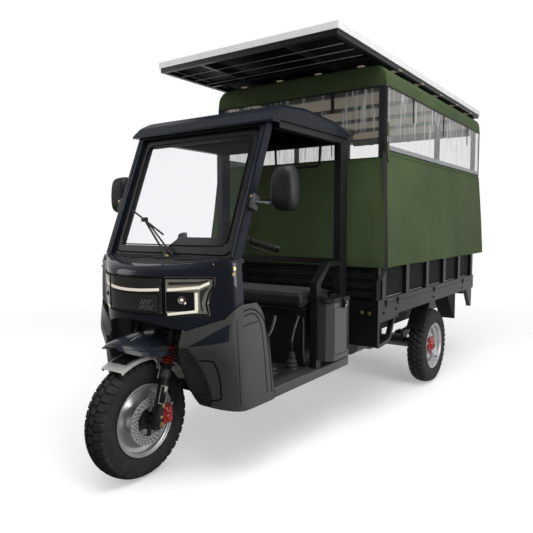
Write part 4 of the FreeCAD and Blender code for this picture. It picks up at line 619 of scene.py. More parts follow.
film, tree, shader, place = see_through("clear_soft_pvc", "#d4d6d5", 0.12, "#f6f7f6", 0.9)
pulled = add(tree, "ShaderNodeMapping", {"Vector": place, "Rotation": (0.22, 0.3, 0.0),
                                         "Scale": (1, 1, 0.09)})
creases = grain(tree, pulled.outputs[0], CREASE_MM, 3)
# Sharp crease ridges make the film more opaque and milky: a painted highlight for the bright streaks, weaker
# towards the foot.
crease_highlight = add(tree, "ShaderNodeMapRange", {"Value": creases, "From Min": 0.53, "From Max": 0.68,
                                         "To Min": 0.0, "To Max": 0.6})
height = add(tree, "ShaderNodeSeparateXYZ", {0: place})
upper = add(tree, "ShaderNodeMapRange", {"Value": height.outputs["Z"], "From Min": 1.6, "From Max": 1.8,
                                         "To Min": 0.12, "To Max": 1.0})
crease_highlight = add(tree, "ShaderNodeMath", {0: crease_highlight.outputs[0], 1: upper.outputs[0]}, operation="MULTIPLY")
mixed = tree.nodes["Mix Shader"]
share = mixed.inputs[0].links[0].from_socket
fuller = add(tree, "ShaderNodeMath", {0: share, 1: crease_highlight.outputs[0]}, operation="ADD", use_clamp=True)
tree.links.new(fuller.outputs[0], mixed.inputs[0])
bumped(tree, shader, creases, 2.2)
varied(tree, shader, "Roughness", grain(tree, place, 120, 3), 0.08, 0.3)
finish["clear_pvc"] = film
print("film creases about", CREASE_MM, "mm apart")

# %% Glass and lenses
glass, tree, shader, place = see_through("laminated_window_glass", "#aeb6ba", 0.03, "#fafbfc", 0.96)
varied(tree, shader, "Roughness", grain(tree, place, 200, 3), 0.01, 0.05)
finish["screen_glass"] = glass

lens, tree, shader, place = see_through("clear_polycarbonate_lens", "#8d9296", 0.06, "#e4e8ea", 0.6)
bumped(tree, shader, grain(tree, place, 20, 1), 0.1)
finish["lamp_lens"] = lens

red_lens, tree, shader, place = material("red_acrylic_lens", "#8e1214", 0.14, Coat_Weight=0.5)
flutes = add(tree, "ShaderNodeTexWave", {"Vector": place, "Scale": 1000 / 5 / 20 * math.pi},
             bands_direction="X")
bumped(tree, shader, flutes.outputs["Fac"], 0.6)
tinted(tree, shader, flutes.outputs["Fac"], "#7c0f11", "#a3191b", 0.0, 1.0)
finish["red_lens"] = red_lens
print("glass and lenses ready")

# %% [markdown]
# ## Solar cells
#
# A solar panel is rows of dark cells under textured glass, with thin pale gaps between them. The
# Brick node draws the cells at their real width of 182 mm, each cut in half. Nothing here needs to
# be a shape, because the glass above is flat.

# %% Solar cells
CELL = 0.182
laminate, tree, shader, place = material("solar_cell_laminate", "#0f1624", 0.3, Coat_Weight=0.4,
                                         Coat_Roughness=0.22, Coat_IOR=1.3, Specular_IOR_Level=0.25)
brick = add(tree, "ShaderNodeTexBrick",
            {"Vector": place, "Color1": linear("#0d1524"), "Color2": linear("#111c30"),
             "Mortar": linear("#8f949b"), "Scale": 1.0, "Mortar Size": 0.0016, "Brick Width": CELL,
             "Row Height": CELL / 2, "Mortar Smooth": 0.1}, offset=0.0)
tree.links.new(brick.outputs["Color"], shader.inputs["Base Color"])
bumped(tree, shader, grain(tree, place, 30, 1), 0.01)
finish["panel_glass"] = laminate
print("finishes for", len(finish), "slots")

# %% [markdown]
# ## Solids that keep their shape
#
# Most of the model's solids are right as they are and only need a finish. The record names a slot
# for each, so one loop can dress them all. Solids that get a better shape are replaced further on.

# %% Put each finish on the solids that keep their shape
slots = {entry["node"]: entry["material_slot"] for entry in frame["record"]["subparts"]}


def painted_node(name, painted):
    """Gives a solid that keeps its shape its finish."""
    for part in frame["nodes"][name].material_slots:
        part.material = painted


for name in frame["nodes"]:
    painted_node(name, finish[slots[name]])
print("dressed", len(frame["nodes"]), "solids")

# %% [markdown]
# ## Geometry Nodes for what repeats
#
# Tread blocks, bolts and holes repeat round a circle, ribs and bars repeat along a line, and a
# spring is a circle that follows a helix. Each of these three rules is a small tree with named
# inputs. A tree ends in Realize Instances and Set Material, and its result is turned into a plain
# mesh at once, so nothing is left to evaluate later.


# %% Trees and how they are run
def new_tree(name, inputs):
    """A Geometry Nodes tree with named inputs, and the sockets that they come out of."""
    tree = bpy.data.node_groups.new(name, "GeometryNodeTree")
    for label, kind in inputs.items():
        tree.interface.new_socket(label, in_out="INPUT", socket_type="NodeSocket" + kind)
    tree.interface.new_socket("Geometry", in_out="OUTPUT", socket_type="NodeSocketGeometry")
    return tree, add(tree, "NodeGroupInput").outputs


def ended(tree, geometry, painted):
    """Closes a tree: real geometry, one material, one output."""
    real = add(tree, "GeometryNodeRealizeInstances", {"Geometry": geometry})
    coloured = add(tree, "GeometryNodeSetMaterial", {"Geometry": real.outputs[0], "Material": painted})
    add(tree, "NodeGroupOutput", {"Geometry": coloured.outputs[0]})
    return tree


def grown(tree, **values):
    """Runs a tree once with its inputs set by name, and returns a plain mesh."""
    carrier = mesh_object(tree.name, [(0, 0, 0)], [], values["Finish"])
    modifier = carrier.modifiers.new("Tree", "NODES")
    modifier.node_group = tree
    for socket in tree.interface.items_tree:
        if socket.in_out == "INPUT":
            modifier[socket.identifier] = values[socket.name]
    return applied(carrier)


def used_up(piece):
    """Takes the pattern piece of a tree out of the scene once it has been repeated."""
    bpy.data.objects.remove(piece)


print("a tree can be built, ended and run")

# %% A ring, a row and a coil
RING, given = new_tree("ring_of_pieces", {"Piece": "Object", "Count": "Int", "Radius": "Float",
                                          "Finish": "Material"})
circle = add(RING, "GeometryNodeMeshCircle", {"Vertices": given["Count"], "Radius": given["Radius"]})
share = add(RING, "ShaderNodeMath", {0: 2 * math.pi, 1: given["Count"]}, operation="DIVIDE")
angle = add(RING, "ShaderNodeMath", {0: add(RING, "GeometryNodeInputIndex").outputs[0],
                                     1: share.outputs[0]}, operation="MULTIPLY")
turn = add(RING, "ShaderNodeCombineXYZ", {"Z": angle.outputs[0]})
pattern = add(RING, "GeometryNodeObjectInfo", {"Object": given["Piece"]})
copies = add(RING, "GeometryNodeInstanceOnPoints",
             {"Points": circle.outputs[0], "Instance": pattern.outputs["Geometry"],
              "Rotation": turn.outputs[0]})
ended(RING, copies.outputs[0], given["Finish"])

ROW, given = new_tree("row_of_pieces", {"Piece": "Object", "Count": "Int", "Step": "Vector",
                                        "Finish": "Material"})
line = add(ROW, "GeometryNodeMeshLine", {"Count": given["Count"], "Offset": given["Step"]})
pattern = add(ROW, "GeometryNodeObjectInfo", {"Object": given["Piece"]})
copies = add(ROW, "GeometryNodeInstanceOnPoints",
             {"Points": line.outputs[0], "Instance": pattern.outputs["Geometry"]})
ended(ROW, copies.outputs[0], given["Finish"])

COIL, given = new_tree("coil_spring", {"Turns": "Float", "Radius": "Float", "Height": "Float",
                                       "Wire": "Float", "Finish": "Material"})
helix = add(COIL, "GeometryNodeCurveSpiral",
            {"Resolution": 28, "Rotations": given["Turns"], "Start Radius": given["Radius"],
             "End Radius": given["Radius"], "Height": given["Height"]})
wire = add(COIL, "GeometryNodeCurvePrimitiveCircle", {"Resolution": 10, "Radius": given["Wire"]})
skin = add(COIL, "GeometryNodeCurveToMesh",
           {"Curve": helix.outputs[0], "Profile Curve": wire.outputs[0], "Fill Caps": True})
ended(COIL, skin.outputs[0], given["Finish"])


def ring(piece, count, radius, painted):
    made = grown(RING, Piece=piece, Count=count, Radius=radius, Finish=painted)
    used_up(piece)
    return made


def row(piece, count, step, painted):
    made = grown(ROW, Piece=piece, Count=count, Step=tuple(step), Finish=painted)
    used_up(piece)
    return made


print("trees:", RING.name, ROW.name, COIL.name)

# %% [markdown]
# ## Tyres
#
# A small truck tyre has square blocks along each shoulder and a zigzag band down the middle. The
# carcass is a profile turned about the axle, 9 mm lower than the tread. Three kinds of block are
# modelled once, with their outer face on the tread's curve, and the ring tree repeats them.

# %% Tyre sizes
TYRE_RADIUS = 0.262
TREAD_DEPTH = 0.009
BLOCKS = 40
ABOUT_AXLE = Matrix.Rotation(math.radians(90), 4, "Y")


def about(thing, centre):
    """Turns a piece that was made about Z on to its axle."""
    return moved(thing, Matrix.Translation(centre) @ ABOUT_AXLE)


def tread_height(x):
    """Radius of the finished tread at a distance x from the middle, in metres."""
    return TYRE_RADIUS - 0.0035 * (x / 0.03) ** 2 - 0.45 * max(0, abs(x) - 0.036) ** 1.12


def tread_block(rows, side=1):
    """A block whose rows are (distance from the middle, half width, shift round the tyre) in mm."""
    sections = []
    for x, half, shift in rows:
        x, half, shift = x / 1000, half / 1000, shift / 1000
        top, base = tread_height(x) - TYRE_RADIUS, tread_height(x) - TYRE_RADIUS - TREAD_DEPTH - 0.003
        axial = -side * x
        sections.append([Vector((top, shift - half, axial)), Vector((top, shift + half, axial)),
                         Vector((base, shift + half + 0.001, axial)),
                         Vector((base, shift - half - 0.001, axial))])
    block = lofted("block", sections, tyre_black, around=True, caps=True)
    return smoothed(modified(block, "BEVEL", width=0.0012, segments=1), 30)


def tread():
    """Both shoulders and the zigzag middle of one tyre, about the Z axis."""
    shoulder = [(17, 4, 0), (22, 12.5, 0), (31, 16, 0), (44, 16.5, 0), (51, 15.5, 0), (55.6, 12, 0)]
    middle = [(-14, 3, 6), (-8, 15, 4), (0, 16, 0), (8, 15, -4), (14, 3, -6)]
    rings = [ring(tread_block(shoulder, 1), BLOCKS, TYRE_RADIUS, tyre_black),
             ring(tread_block(shoulder, -1), BLOCKS, TYRE_RADIUS, tyre_black)]
    centre = ring(tread_block(middle), BLOCKS, TYRE_RADIUS, tyre_black)
    rings.append(moved(centre, Matrix.Rotation(math.pi / BLOCKS, 4, "Z")))
    return rings


print("tread radius in the middle and at 5 cm:", [round(tread_height(x), 4) for x in (0, 0.05)])

# %% Carcass and tyres
FLANK = [(43.7, 152.7), (45.7, 163), (50, 172), (53.6, 184), (54.8, 186.5), (55.6, 188.5), (55.8, 199),
         (55.7, 210), (55.0, 220), (53.3, 231), (50.5, 240), (47, 245.5)]


def carcass():
    """The tyre's body, a closed profile turned about the Z axis, with a moulded ring on each flank."""
    crown = [(x, tread_height(x / 1000) * 1000 - TREAD_DEPTH * 1000) for x in (38, 26, 13, 0)]
    half = [*FLANK, *crown]
    inner = [(36, 160), (44, 180), (46, 205), (38, 232), (20, 244), (0, 246)]
    outline = [(-x, r) for x, r in half[:-1]] + half[::-1] + inner + [(-x, r) for x, r in inner[-2::-1]]
    outline = [(x / 1000, r / 1000) for x, r in outline]
    return turned(outline, tyre_black, "Z", steps=96, closed=True)


def tyre(name, body, centre, node):
    whole = about(joined(name, [carcass(), *tread()]), centre)
    return dressed(whole, name, body, [node])


tyre("front_tyre_tread", "front_wheel", FRONT_AXLE, "front_tyre")
left_axle, right_axle = REAR_AXLE, Vector((-REAR_AXLE.x, REAR_AXLE.y, REAR_AXLE.z))
tyre("rear_tyre_left_tread", "rear_wheel_left", left_axle, "rear_tyre_left")
tyre("rear_tyre_right_tread", "rear_wheel_right", right_axle, "rear_tyre_right")

# %% [markdown]
# ## Rims, brake disc and hubs
#
# The rims are pressed from sheet: a barrel with a rolled edge and a dished disc whose lobes stiffen
# it. The dish is lofted from rows round the axle, each pushed out where a lobe passes. The brake
# disc is a flat ring whose real holes are cut by a boolean node, in slanted groups of three. A dark
# ring behind it keeps light out of the holes, and a black carrier with five arms holds it to the hub.

# %% Barrel and lobed dish
LOBES = 5


def barrel(painted):
    """The rim's ring, with a rolled edge each side of the well, about the Z axis."""
    outside = [(-54, 160), (-52.5, 162), (-49, 161.5), (-46, 158), (-44, 152.7), (-22, 149.5), (-15, 131),
               (15, 131), (22, 149.5), (44, 152.7), (46, 158), (49, 161.5), (52.5, 162), (54, 160)]
    inside = [(52, 156.5), (47, 153.5), (44.5, 148.5), (24, 145), (18, 127), (-18, 127), (-24, 145),
              (-44.5, 148.5), (-47, 153.5), (-52, 156.5)]
    return turned([(x / 1000, r / 1000) for x, r in outside + inside], painted, "Z", 96, closed=True)


def dish(painted, bulge, lobe):
    """The lobed disc between the barrel and the hub, about the Z axis. It bulges by bulge."""
    rows = []
    for i in range(120):
        angle = 2 * math.pi * i / 120
        line = []
        for j in range(15):
            t = j / 14
            radius = 0.1275 - 0.084 * t
            wave = lobe * math.cos(LOBES * angle) * math.sin(math.pi * t) ** 2
            rise = bulge * (1 - math.cos(math.pi * min(1, t * 1.5))) / 2
            line.append(Vector((radius * math.cos(angle), radius * math.sin(angle), rise + wave)))
        rows.append(line)
    sheet = lofted("dish", rows, painted, along=True)
    return smoothed(modified(sheet, "SOLIDIFY", thickness=0.004, offset=0), 50)


print("barrel and dish are ready")


# %% Bolts
def bolt(radius, height, painted):
    """A hexagon head on its washer, along Z from zero."""
    washer = drum(0, height * 0.25, radius * 1.35, painted, 20)
    head = turned([(height * 0.2, 0), (height * 0.2, radius), (height * 0.85, radius),
                   (height, radius * 0.8), (height, 0)], painted, "Z", 6)
    return joined("bolt", [washer, head])


def hexagon(centre, direction, radius, height, painted):
    """A bolt at a place, pointing along a direction."""
    aim = Vector(direction).to_track_quat("Z", "Y").to_matrix().to_4x4()
    return moved(bolt(radius, height, painted), Matrix.Translation(centre) @ aim)


print("bolts are ready")

# %% Perforated brake disc
DISC_FACE = 0.0715
DRILLED = 30
HOLE_RADIUS = 0.0043

PERFORATED, given = new_tree("perforated_plate", {"Plate": "Object", "Drill": "Object",
                                                  "Finish": "Material"})
plate = add(PERFORATED, "GeometryNodeObjectInfo", {"Object": given["Plate"]})
drill = add(PERFORATED, "GeometryNodeObjectInfo", {"Object": given["Drill"]})
holed = add(PERFORATED, "GeometryNodeMeshBoolean",
            {"Mesh 1": plate.outputs["Geometry"], "Mesh 2": drill.outputs["Geometry"]},
            operation="DIFFERENCE")
ended(PERFORATED, holed.outputs[0], given["Finish"])


def brake_disc():
    """The drilled ring and its scalloped inner edge, about the Z axis."""
    flat = turned([(0.0, 0.066), (0.0, 0.105), (0.004, 0.105), (0.004, 0.066)], silver, "Z", 96,
                  closed=True)
    pins = []
    for radius, slip in ((0.074, 0), (0.085, 4), (0.096, 8)):
        pin = drum(-0.004, 0.008, HOLE_RADIUS, silver, 8)
        moved(pin, Matrix.Rotation(math.radians(slip), 4, "Z") @ Matrix.Translation((radius, 0, 0)))
        pins.append(ring(pin, DRILLED, 0.0, silver))
    notch = drum(-0.004, 0.008, 0.006, silver, 16)
    pins.append(ring(moved(notch, Matrix.Translation((0.064, 0, 0))), 10, 0.0, silver))
    drills = joined("drills", pins)
    made = grown(PERFORATED, Plate=flat, Drill=drills, Finish=silver)
    used_up(flat)
    used_up(drills)
    return smoothed(made, 30)


print("holes in the disc:", 3 * DRILLED)


# %% Hub carrier and the front wheel
def carrier():
    """Black hub carrier with five arms that reach the disc, each with its button bolt."""
    hub = turned([(-0.06, 0.0), (-0.06, 0.046), (0.03, 0.046), (0.04, 0.04), (0.068, 0.036),
                  (0.07, 0.03), (0.07, 0)], powder, "Z", 48)
    arm = slab((0.02, -0.011, 0.066), (0.077, 0.011, 0.0712), powder, 0.002)
    arms = ring(arm, 5, 0.0, powder)
    button = turned([(0.0755, 0), (0.0755, 0.0045), (0.0775, 0.003), (0.078, 0)], zinc, "Z", 12)
    buttons = ring(moved(button, Matrix.Translation((0.072, 0, 0))), 5, 0.0, silver)
    return joined("carrier", [hub, arms, buttons])


front_rim = joined("front_rim", [barrel(silver), dish(silver, 0.016, 0.005)])
dressed(about(front_rim, FRONT_AXLE), "front_rim_pressed", "front_wheel", ["front_rim"])
disc = moved(brake_disc(), Matrix.Translation((0, 0, DISC_FACE - 0.0015)))
shade = turned([(0.0, 0.067), (0.0, 0.104), (0.0012, 0.104), (0.0012, 0.067)], powder, "Z", 72, closed=True)
disc = joined("disc", [disc, moved(shade, Matrix.Translation((0, 0, DISC_FACE - 0.0034)))])
dressed(about(disc, FRONT_AXLE), "brake_disc_drilled", "front_wheel", ["brake_disc"])
dressed(about(carrier(), FRONT_AXLE), "front_hub_carrier", "front_wheel")
nuts = [hexagon(FRONT_AXLE + Vector((side * 0.1475, 0, 0)), (side, 0, 0), 0.0095, 0.011, zinc)
        for side in (1, -1)]
dressed(nuts, "front_axle_nuts", "steering")


# %% Rear wheels
def star():
    """The red hub: five stubby arms round a stepped boss, along Z."""
    boss = turned([(0.02, 0), (0.02, 0.05), (0.034, 0.046), (0.038, 0.034), (0.05, 0.031), (0.053, 0.026),
                   (0.053, 0)], red_paint, "Z", 40)
    arm = slab((0.02, -0.0115, 0.022), (0.066, 0.0115, 0.037), red_paint, 0.005, 3)
    cap = turned([(0.05, 0), (0.05, 0.017), (0.0565, 0.015), (0.058, 0.0)], cast, "Z", 24)
    return joined("star", [boss, ring(arm, 5, 0.0, red_paint), cap])


def rear_wheel(name, body, centre, side, node):
    # Thin black discs stand in for the dish's holes: painted shade for the dark inside seen through them.
    holes = drum(0, 0.0012, 0.0095, soft_rubber, 20)
    holes = ring(moved(holes, Matrix.Translation((0.112, 0, 0.0085))), 8, 0.0, soft_rubber)
    nuts = ring(moved(bolt(0.0065, 0.01, silver), Matrix.Translation((0.06, 0, 0.0185))), 5, 0.0, silver)
    moved(nuts, Matrix.Rotation(math.pi / 5, 4, "Z"))
    valve = swept([(0.1, 0.1, 0.015), (0.104, 0.104, 0.03), (0.1, 0.1, 0.044)], 0.003, soft_rubber)
    whole = joined(name, [barrel(silver), dish(silver, 0.015, 0.003), holes, nuts, star(), valve])
    if side < 0:
        moved(whole, Matrix.Rotation(math.pi, 4, "Y"))
    return dressed(about(whole, centre), name, body, [node])


rear_wheel("rear_rim_left_pressed", "rear_wheel_left", left_axle, 1, "rear_rim_left")
rear_wheel("rear_rim_right_pressed", "rear_wheel_right", right_axle, -1, "rear_rim_right")

# %% [markdown]
# ## Canopy cloth
#
# The canopy's cover is one sheet of canvas stretched over five hoops. Between two hoops it sags a
# little, and at its long edges it turns down into a valance. A grid does this best: its rows follow
# the outline from one hem to the other, its columns run along the vehicle, and each column is pulled
# down by how far it is from the next hoop. The ends get flaps of the same cloth, with the corners
# folded and sewn, so that cover and flaps are one closed skin once it has its thickness.

# %% Numbers of the cloth
CANOPY_FRONT, CANOPY_REAR = 1296.0, 3266.0
CANOPY_TOP = 2024.0
VALANCE = 1897.0
SIDE_SEAM, FRONT_SEAM = 1533, 1492
CLOTH_MM, FILM_MM = 2.4, 0.8
HOOPS = [1310 + 463 * i for i in range(5)]


def sag_between(y, places, depth):
    """How deep cloth hangs between its supports at y, as a smooth share of depth."""
    if y <= places[0] or y >= places[-1]:
        return 0.0
    for low, high in zip(places, places[1:]):
        if low <= y <= high:
            return depth * math.sin(math.pi * (y - low) / (high - low)) ** 2
    return 0.0


def wobble(seed, count=5, longest=900.0):
    """A smooth, repeatable wave for cloth that is never quite straight."""
    source = random.Random(seed)
    waves = [(source.uniform(0.25, 1.0) * longest, source.uniform(0, 6.28)) for _ in range(count)]
    return lambda s: sum(math.sin(6.28 * s / length + phase) for length, phase in waves) / count


def thick(thing, mm):
    """Gives an open sheet its wall, half to each side of the face that was drawn."""
    return modified(thing, "SOLIDIFY", thickness=mm / 1000, offset=0.0)


def flipped_outwards(thing, centre):
    """Turns an open sheet's faces away from a point, which an open sheet can't work out itself."""
    work = bmesh.new()
    work.from_mesh(thing.data)
    bmesh.ops.recalc_face_normals(work, faces=work.faces)
    votes = sum((face.calc_center_median() - centre).dot(face.normal) for face in work.faces)
    if votes < 0:
        bmesh.ops.reverse_faces(work, faces=work.faces)
    work.to_mesh(thing.data)
    work.free()
    return thing


print("hoops every", HOOPS[1] - HOOPS[0], "mm")


# %% The cover
def cover_outline(y):
    """Half outline of the canopy at y, from its crown to the hem, in (x, z)."""
    dip = sag_between(y, HOOPS, 9.0)
    edge = 3.0 * cover_wave(y) + sag_between(y, HOOPS, 3.5)
    hem = 5.0 * cover_wave(y * 1.7 + 300)
    return [(0, CANOPY_TOP - 1 - dip), (180, CANOPY_TOP - 1 - dip), (360, CANOPY_TOP - 2 - dip * 0.8),
            (505, CANOPY_TOP - 3 - dip * 0.5), (548, CANOPY_TOP - 6 - edge * 0.5),
            (569, CANOPY_TOP - 15 - edge * 0.5), (588, CANOPY_TOP - 32 - edge * 0.3),
            (599, CANOPY_TOP - 46), (604 - edge * 0.4, CANOPY_TOP - 66), (606 - edge * 0.3, 1930),
            (607 + hem * 0.3, VALANCE + 14), (608 + hem * 0.5, VALANCE - 4 + hem * 0.4)]


cover_wave = wobble(11)
stations = [CANOPY_FRONT + (CANOPY_REAR - CANOPY_FRONT) * i / 80 for i in range(81)]
rows = []
for y in stations:
    half = cover_outline(y)
    rows.append([at(-x, y, z) for x, z in half[:0:-1]] + [at(x, y, z) for x, z in half])


print("cover sections:", len(rows))


# %% End flaps and the whole cover
def end_flap(y, outwards, seed):
    """The cloth across one end of the canopy, from the crown's edge down to its hem."""
    wave = wobble(seed, 4, 500)
    half = cover_outline(y)
    lines = []
    for x, z in [(-x, z) for x, z in half[:0:-1]] + half:
        top = z
        bottom = VALANCE - 3 + 3 * wave(x)
        line = []
        for k in range(7):
            t = k / 6
            push = outwards * (4 * math.sin(math.pi * t) + 2.5 * wave(x + 90 * t) * t)
            line.append(at(x, y + push, top + (bottom - top) * t))
        lines.append(line)
    return lofted("flap", lines, canvas)


middle = at(0, (CANOPY_FRONT + CANOPY_REAR) / 2, 1850)
skins = [lofted("cover", rows, canvas), end_flap(CANOPY_FRONT, -1, 21), end_flap(CANOPY_REAR, 1, 22)]
cover = joined("cover", skins)
recalculated(cover)
flipped_outwards(cover, middle)
# The cover's inside gets the pale backing, whose faint glow is painted light for its shaded underside.
cover.data.materials.append(lining)
modified(cover, "SOLIDIFY", thickness=0.003, offset=-1, material_offset=1)
smoothed(modified(cover, "SUBSURF", levels=1, render_levels=1), 60)
dressed(cover, "canopy_cover_cloth", "vehicle", ["canopy_cover"])

# %% [markdown]
# ## Curtains
#
# Each side has a curtain that hangs from the clear window's foot over the outside of the box, with a
# hem that stands off it. Hung canvas drops in long, shallow folds which are deepest at the hem and
# vanish at the seam above. The front curtain leans forward to the cab and then drops over the
# headboard, and it widens downwards to meet the side curtains. A welt, which is a doubled strip,
# joins canvas and film. The front window reaches lower than the side windows.


# %% A hung sheet
def hung_sheet(name, points_top, points_foot, steps_down, fold, seed, outwards):
    """A sheet between a seam and a hem, with folds that grow downwards."""
    wave = wobble(seed, 6, 700)
    small = wobble(seed + 1, 5, 190)
    lines = []
    for start, end in zip(points_top, points_foot):
        line = []
        along = start.y * 1000 if abs(outwards.x) > 0.5 else start.x * 1000
        for k in range(steps_down + 1):
            t = k / steps_down
            depth = fold * (wave(along + 60 * t) * t ** 1.3 + 0.35 * small(along) * t ** 2)
            depth += fold * 0.25 * math.sin(math.pi * t)
            line.append(start.lerp(end, t) + outwards * (depth / 1000))
        lines.append(line)
    return lofted(name, lines, canvas)


print("curtain seams at heights", SIDE_SEAM, "and", FRONT_SEAM, "mm")


# %% Side and front curtains
def side_curtain(side):
    top_x, foot_x = side * 603.3, side * 644.5
    count = 90
    tops, feet = [], []
    for i in range(count + 1):
        y = 1300 + (3317 - 1300) * i / count
        foot_z = 886 + max(0, y - 3280) * 1.0
        past = max(0, y - 3262)
        tops.append(at(top_x, y - past * 0.45, SIDE_SEAM - (3 if y >= 3262 else 0)))
        feet.append(at(foot_x, y - 52 * max(0, 1 - (y - 1300) / 260), foot_z))
    sheet = hung_sheet("side", tops, feet, 16, 11.0, 40 + side, Vector((side, 0, 0)))
    flipped_outwards(sheet, at(0, 2300, 1200))
    return thick(sheet, CLOTH_MM)


def front_curtain():
    top, foot, hem = 1293.5, 1224.0, 934.0
    count = 48
    wave, fine = wobble(61, 5, 420), wobble(62, 5, 150)
    lines = []
    for i in range(count + 1):
        x = -600 + 1200 * i / count
        line = []
        for k in range(22):
            z = FRONT_SEAM - (FRONT_SEAM - 886) * k / 21
            t = (FRONT_SEAM - z) / (FRONT_SEAM - hem)
            y = top + (foot - top) * min(1, t)
            fold = 9.0 * wave(x + 40 * t) * min(1, t) ** 1.2 + 3.0 * fine(x) * min(1, t)
            if t > 1:
                fold = 5.0 * wave(x + 40) - 1.5 * math.sin(x / 30) - 2
            line.append(at(x * (1 + 0.066 * min(1, t)), y - 3 - abs(fold), z))
        lines.append(line)
    sheet = lofted("front", lines, canvas)
    flipped_outwards(sheet, at(0, 2300, 1200))
    return thick(sheet, CLOTH_MM)


print("curtains of", CLOTH_MM, "mm cloth")


# %% Welts, and the curtains as one piece
def welt(start, end, width, outwards, steps=40):
    """A flat doubled strip along a seam, with a slight wave, 3 mm proud of the cloth."""
    wave = wobble(int(abs(start.x + start.y) * 1000) + 7, 4, 600)
    lines = []
    for i in range(steps + 1):
        middle = start.lerp(end, i / steps)
        middle = middle + Vector((0, 0, 0.0012 * wave(i * 40)))
        half = Vector((0, 0, width / 2000))
        low, high = outwards * 0.0005, outwards * 0.0032
        lines.append([middle - half + low, middle - half + high, middle + half + high, middle + half + low])
    return smoothed(lofted("welt", lines, canvas, around=True, caps=True), 40)


pieces = [side_curtain(1), side_curtain(-1), front_curtain()]
for side in (1, -1):
    out = Vector((side, 0, 0))
    pieces.append(welt(at(side * 604.2, 1302, 1531), at(side * 604.2, 3262, 1531), 20, out))
    pieces.append(welt(at(side * 645.5, 1302, 900), at(side * 645.5, 3300, 900), 24, out))
pieces.append(welt(at(-600, 1291, FRONT_SEAM - 2), at(600, 1291, FRONT_SEAM - 2), 20, Vector((0, -1, 0))))
for piece in pieces:
    smoothed(piece, 60)
curtain = joined("curtains_cloth", pieces)
dressed(curtain, "curtains_cloth", "vehicle", ["curtains"])

# %% [markdown]
# ## Clear windows
#
# The windows are soft PVC film sewn into black piping. Film that has been rolled up keeps creases:
# long diagonal fans that start where it is tied and spread over the pane. They are made as a height
# field on a fine grid, so the reflections break along them in the real way. Along the foot of a side
# window the film is doubled, which shows as a milky strip.


# %% Film with creases
def creased(name, corner, along, down, length, drop, seed, outwards, fans, depth=2.6):
    """A pane of film from a corner, with fans of creases that start at (along, down) shares."""
    source = random.Random(seed)
    folds = []
    for u, v in fans:
        for _ in range(9):
            folds.append((u * length, v * drop, source.uniform(0, math.pi), source.uniform(0.25, 1.0),
                          source.uniform(0.03, 0.09)))
    wave = wobble(seed, 4, 800)
    count_u, count_v = int(length / 11), int(drop / 11)
    lines = []
    for i in range(count_u + 1):
        line = []
        for j in range(count_v + 1):
            u, v = length * i / count_u, drop * j / count_v
            rise = 1.5 * wave(u + v * 0.6)
            for cu, cv, angle, size, width in folds:
                du, dv = u - cu, v - cv
                away = math.hypot(du, dv) + 1
                turn = math.atan2(abs(dv), du) - angle
                fan = math.exp(-(turn / width) ** 2) * min(1, away / 60) * math.exp(-away / 420)
                rise += depth * size * fan
            edge = min(u, length - u, v, drop - v)
            rise *= min(1, edge / 30)
            line.append(corner + along * (u / 1000) + down * (v / 1000) + outwards * (rise / 1000))
        lines.append(line)
    pane = lofted(name, lines, film)
    flipped_outwards(pane, corner - outwards)
    for polygon in pane.data.polygons:
        polygon.use_smooth = True
    return pane


print("creases are made as a height field")

# %% Three panes
TOP_Z = 1899.0
PANE_DROP = TOP_Z - SIDE_SEAM - 1
sides = []
for side in (1, -1):
    out = Vector((side, 0, 0))
    fans = [(0.16, 0.02), (0.42, 0.0), (0.55, 1.0), (0.78, 0.0), (0.95, 0.7), (0.02, 1.0)]
    sides.append(creased("pane", at(side * 602.6, 1301, TOP_Z), AHEAD, DOWN,
                         1964, PANE_DROP, 71 + side, out, fans))
sides.append(creased("pane", at(-600, 1293.5, TOP_Z), Vector((1, 0, 0)), DOWN, 1200,
                     PANE_DROP + SIDE_SEAM - FRONT_SEAM, 77, Vector((0, -1, 0)),
                     [(0.1, 0.0), (0.35, 1.0), (0.62, 0.0), (0.9, 1.0)]))
windows = joined("clear_windows_film", sides)
thick(windows, FILM_MM)
dressed(windows, "clear_windows_film", "vehicle", ["clear_windows"])

# %% Piping round the windows
PIPING = 0.0042

doubled = finished("doubled_pvc_strip", "#8f9192", 0.3, tint=(14, 3, "#7f8182", "#a2a4a5"))
piping = [slab(at(side * 604.9, 1305, 1547), at(side * 606.2, 3258, 1573), doubled, 0.0004, 1)
          for side in (1, -1)]
for side in (1, -1):
    x = side * 605.5
    for y in (1303, 3260):
        piping.append(swept([at(x, y, z) for z in (1535, 1715, 1896)], PIPING, soft_rubber, sides=8))
    for z in (1896, 1543):
        piping.append(swept([at(x, 1303 + 391.4 * i, z + 1.5 * math.sin(i * 2.1)) for i in range(6)],
                            PIPING, soft_rubber, sides=8))
for x in (-598, 598):
    piping.append(swept([at(x, 1290.5, z) for z in (1494, 1700, 1896)], PIPING, soft_rubber, sides=8))
for z in (1896, 1502):
    piping.append(swept([at(-598 + 239.2 * i, 1290.5, z + 1.2 * math.sin(i * 2.4)) for i in range(6)],
                        PIPING, soft_rubber, sides=8))
dressed(piping, "window_piping", "vehicle")

# %% [markdown]
# ## Rolled rear curtain and straps
#
# The rear opening's curtain is rolled up under the valance and tied with webbing. It is drawn as
# what it is, one sheet wound up from its lower edge: every section is the same spiral, which tightens
# where a strap bites, and the sheet then gets its thickness. The straps are flat webbing.


# %% The roll
STRAP_XS = (-360, 0, 360)
TURNS = 3.4
ROLL_Y, ROLL_Z = 3222.3, 1897


def on_roll(x, radius, angle):
    return at(x, ROLL_Y, ROLL_Z) + Vector((0, radius * math.cos(angle), radius * math.sin(angle)))


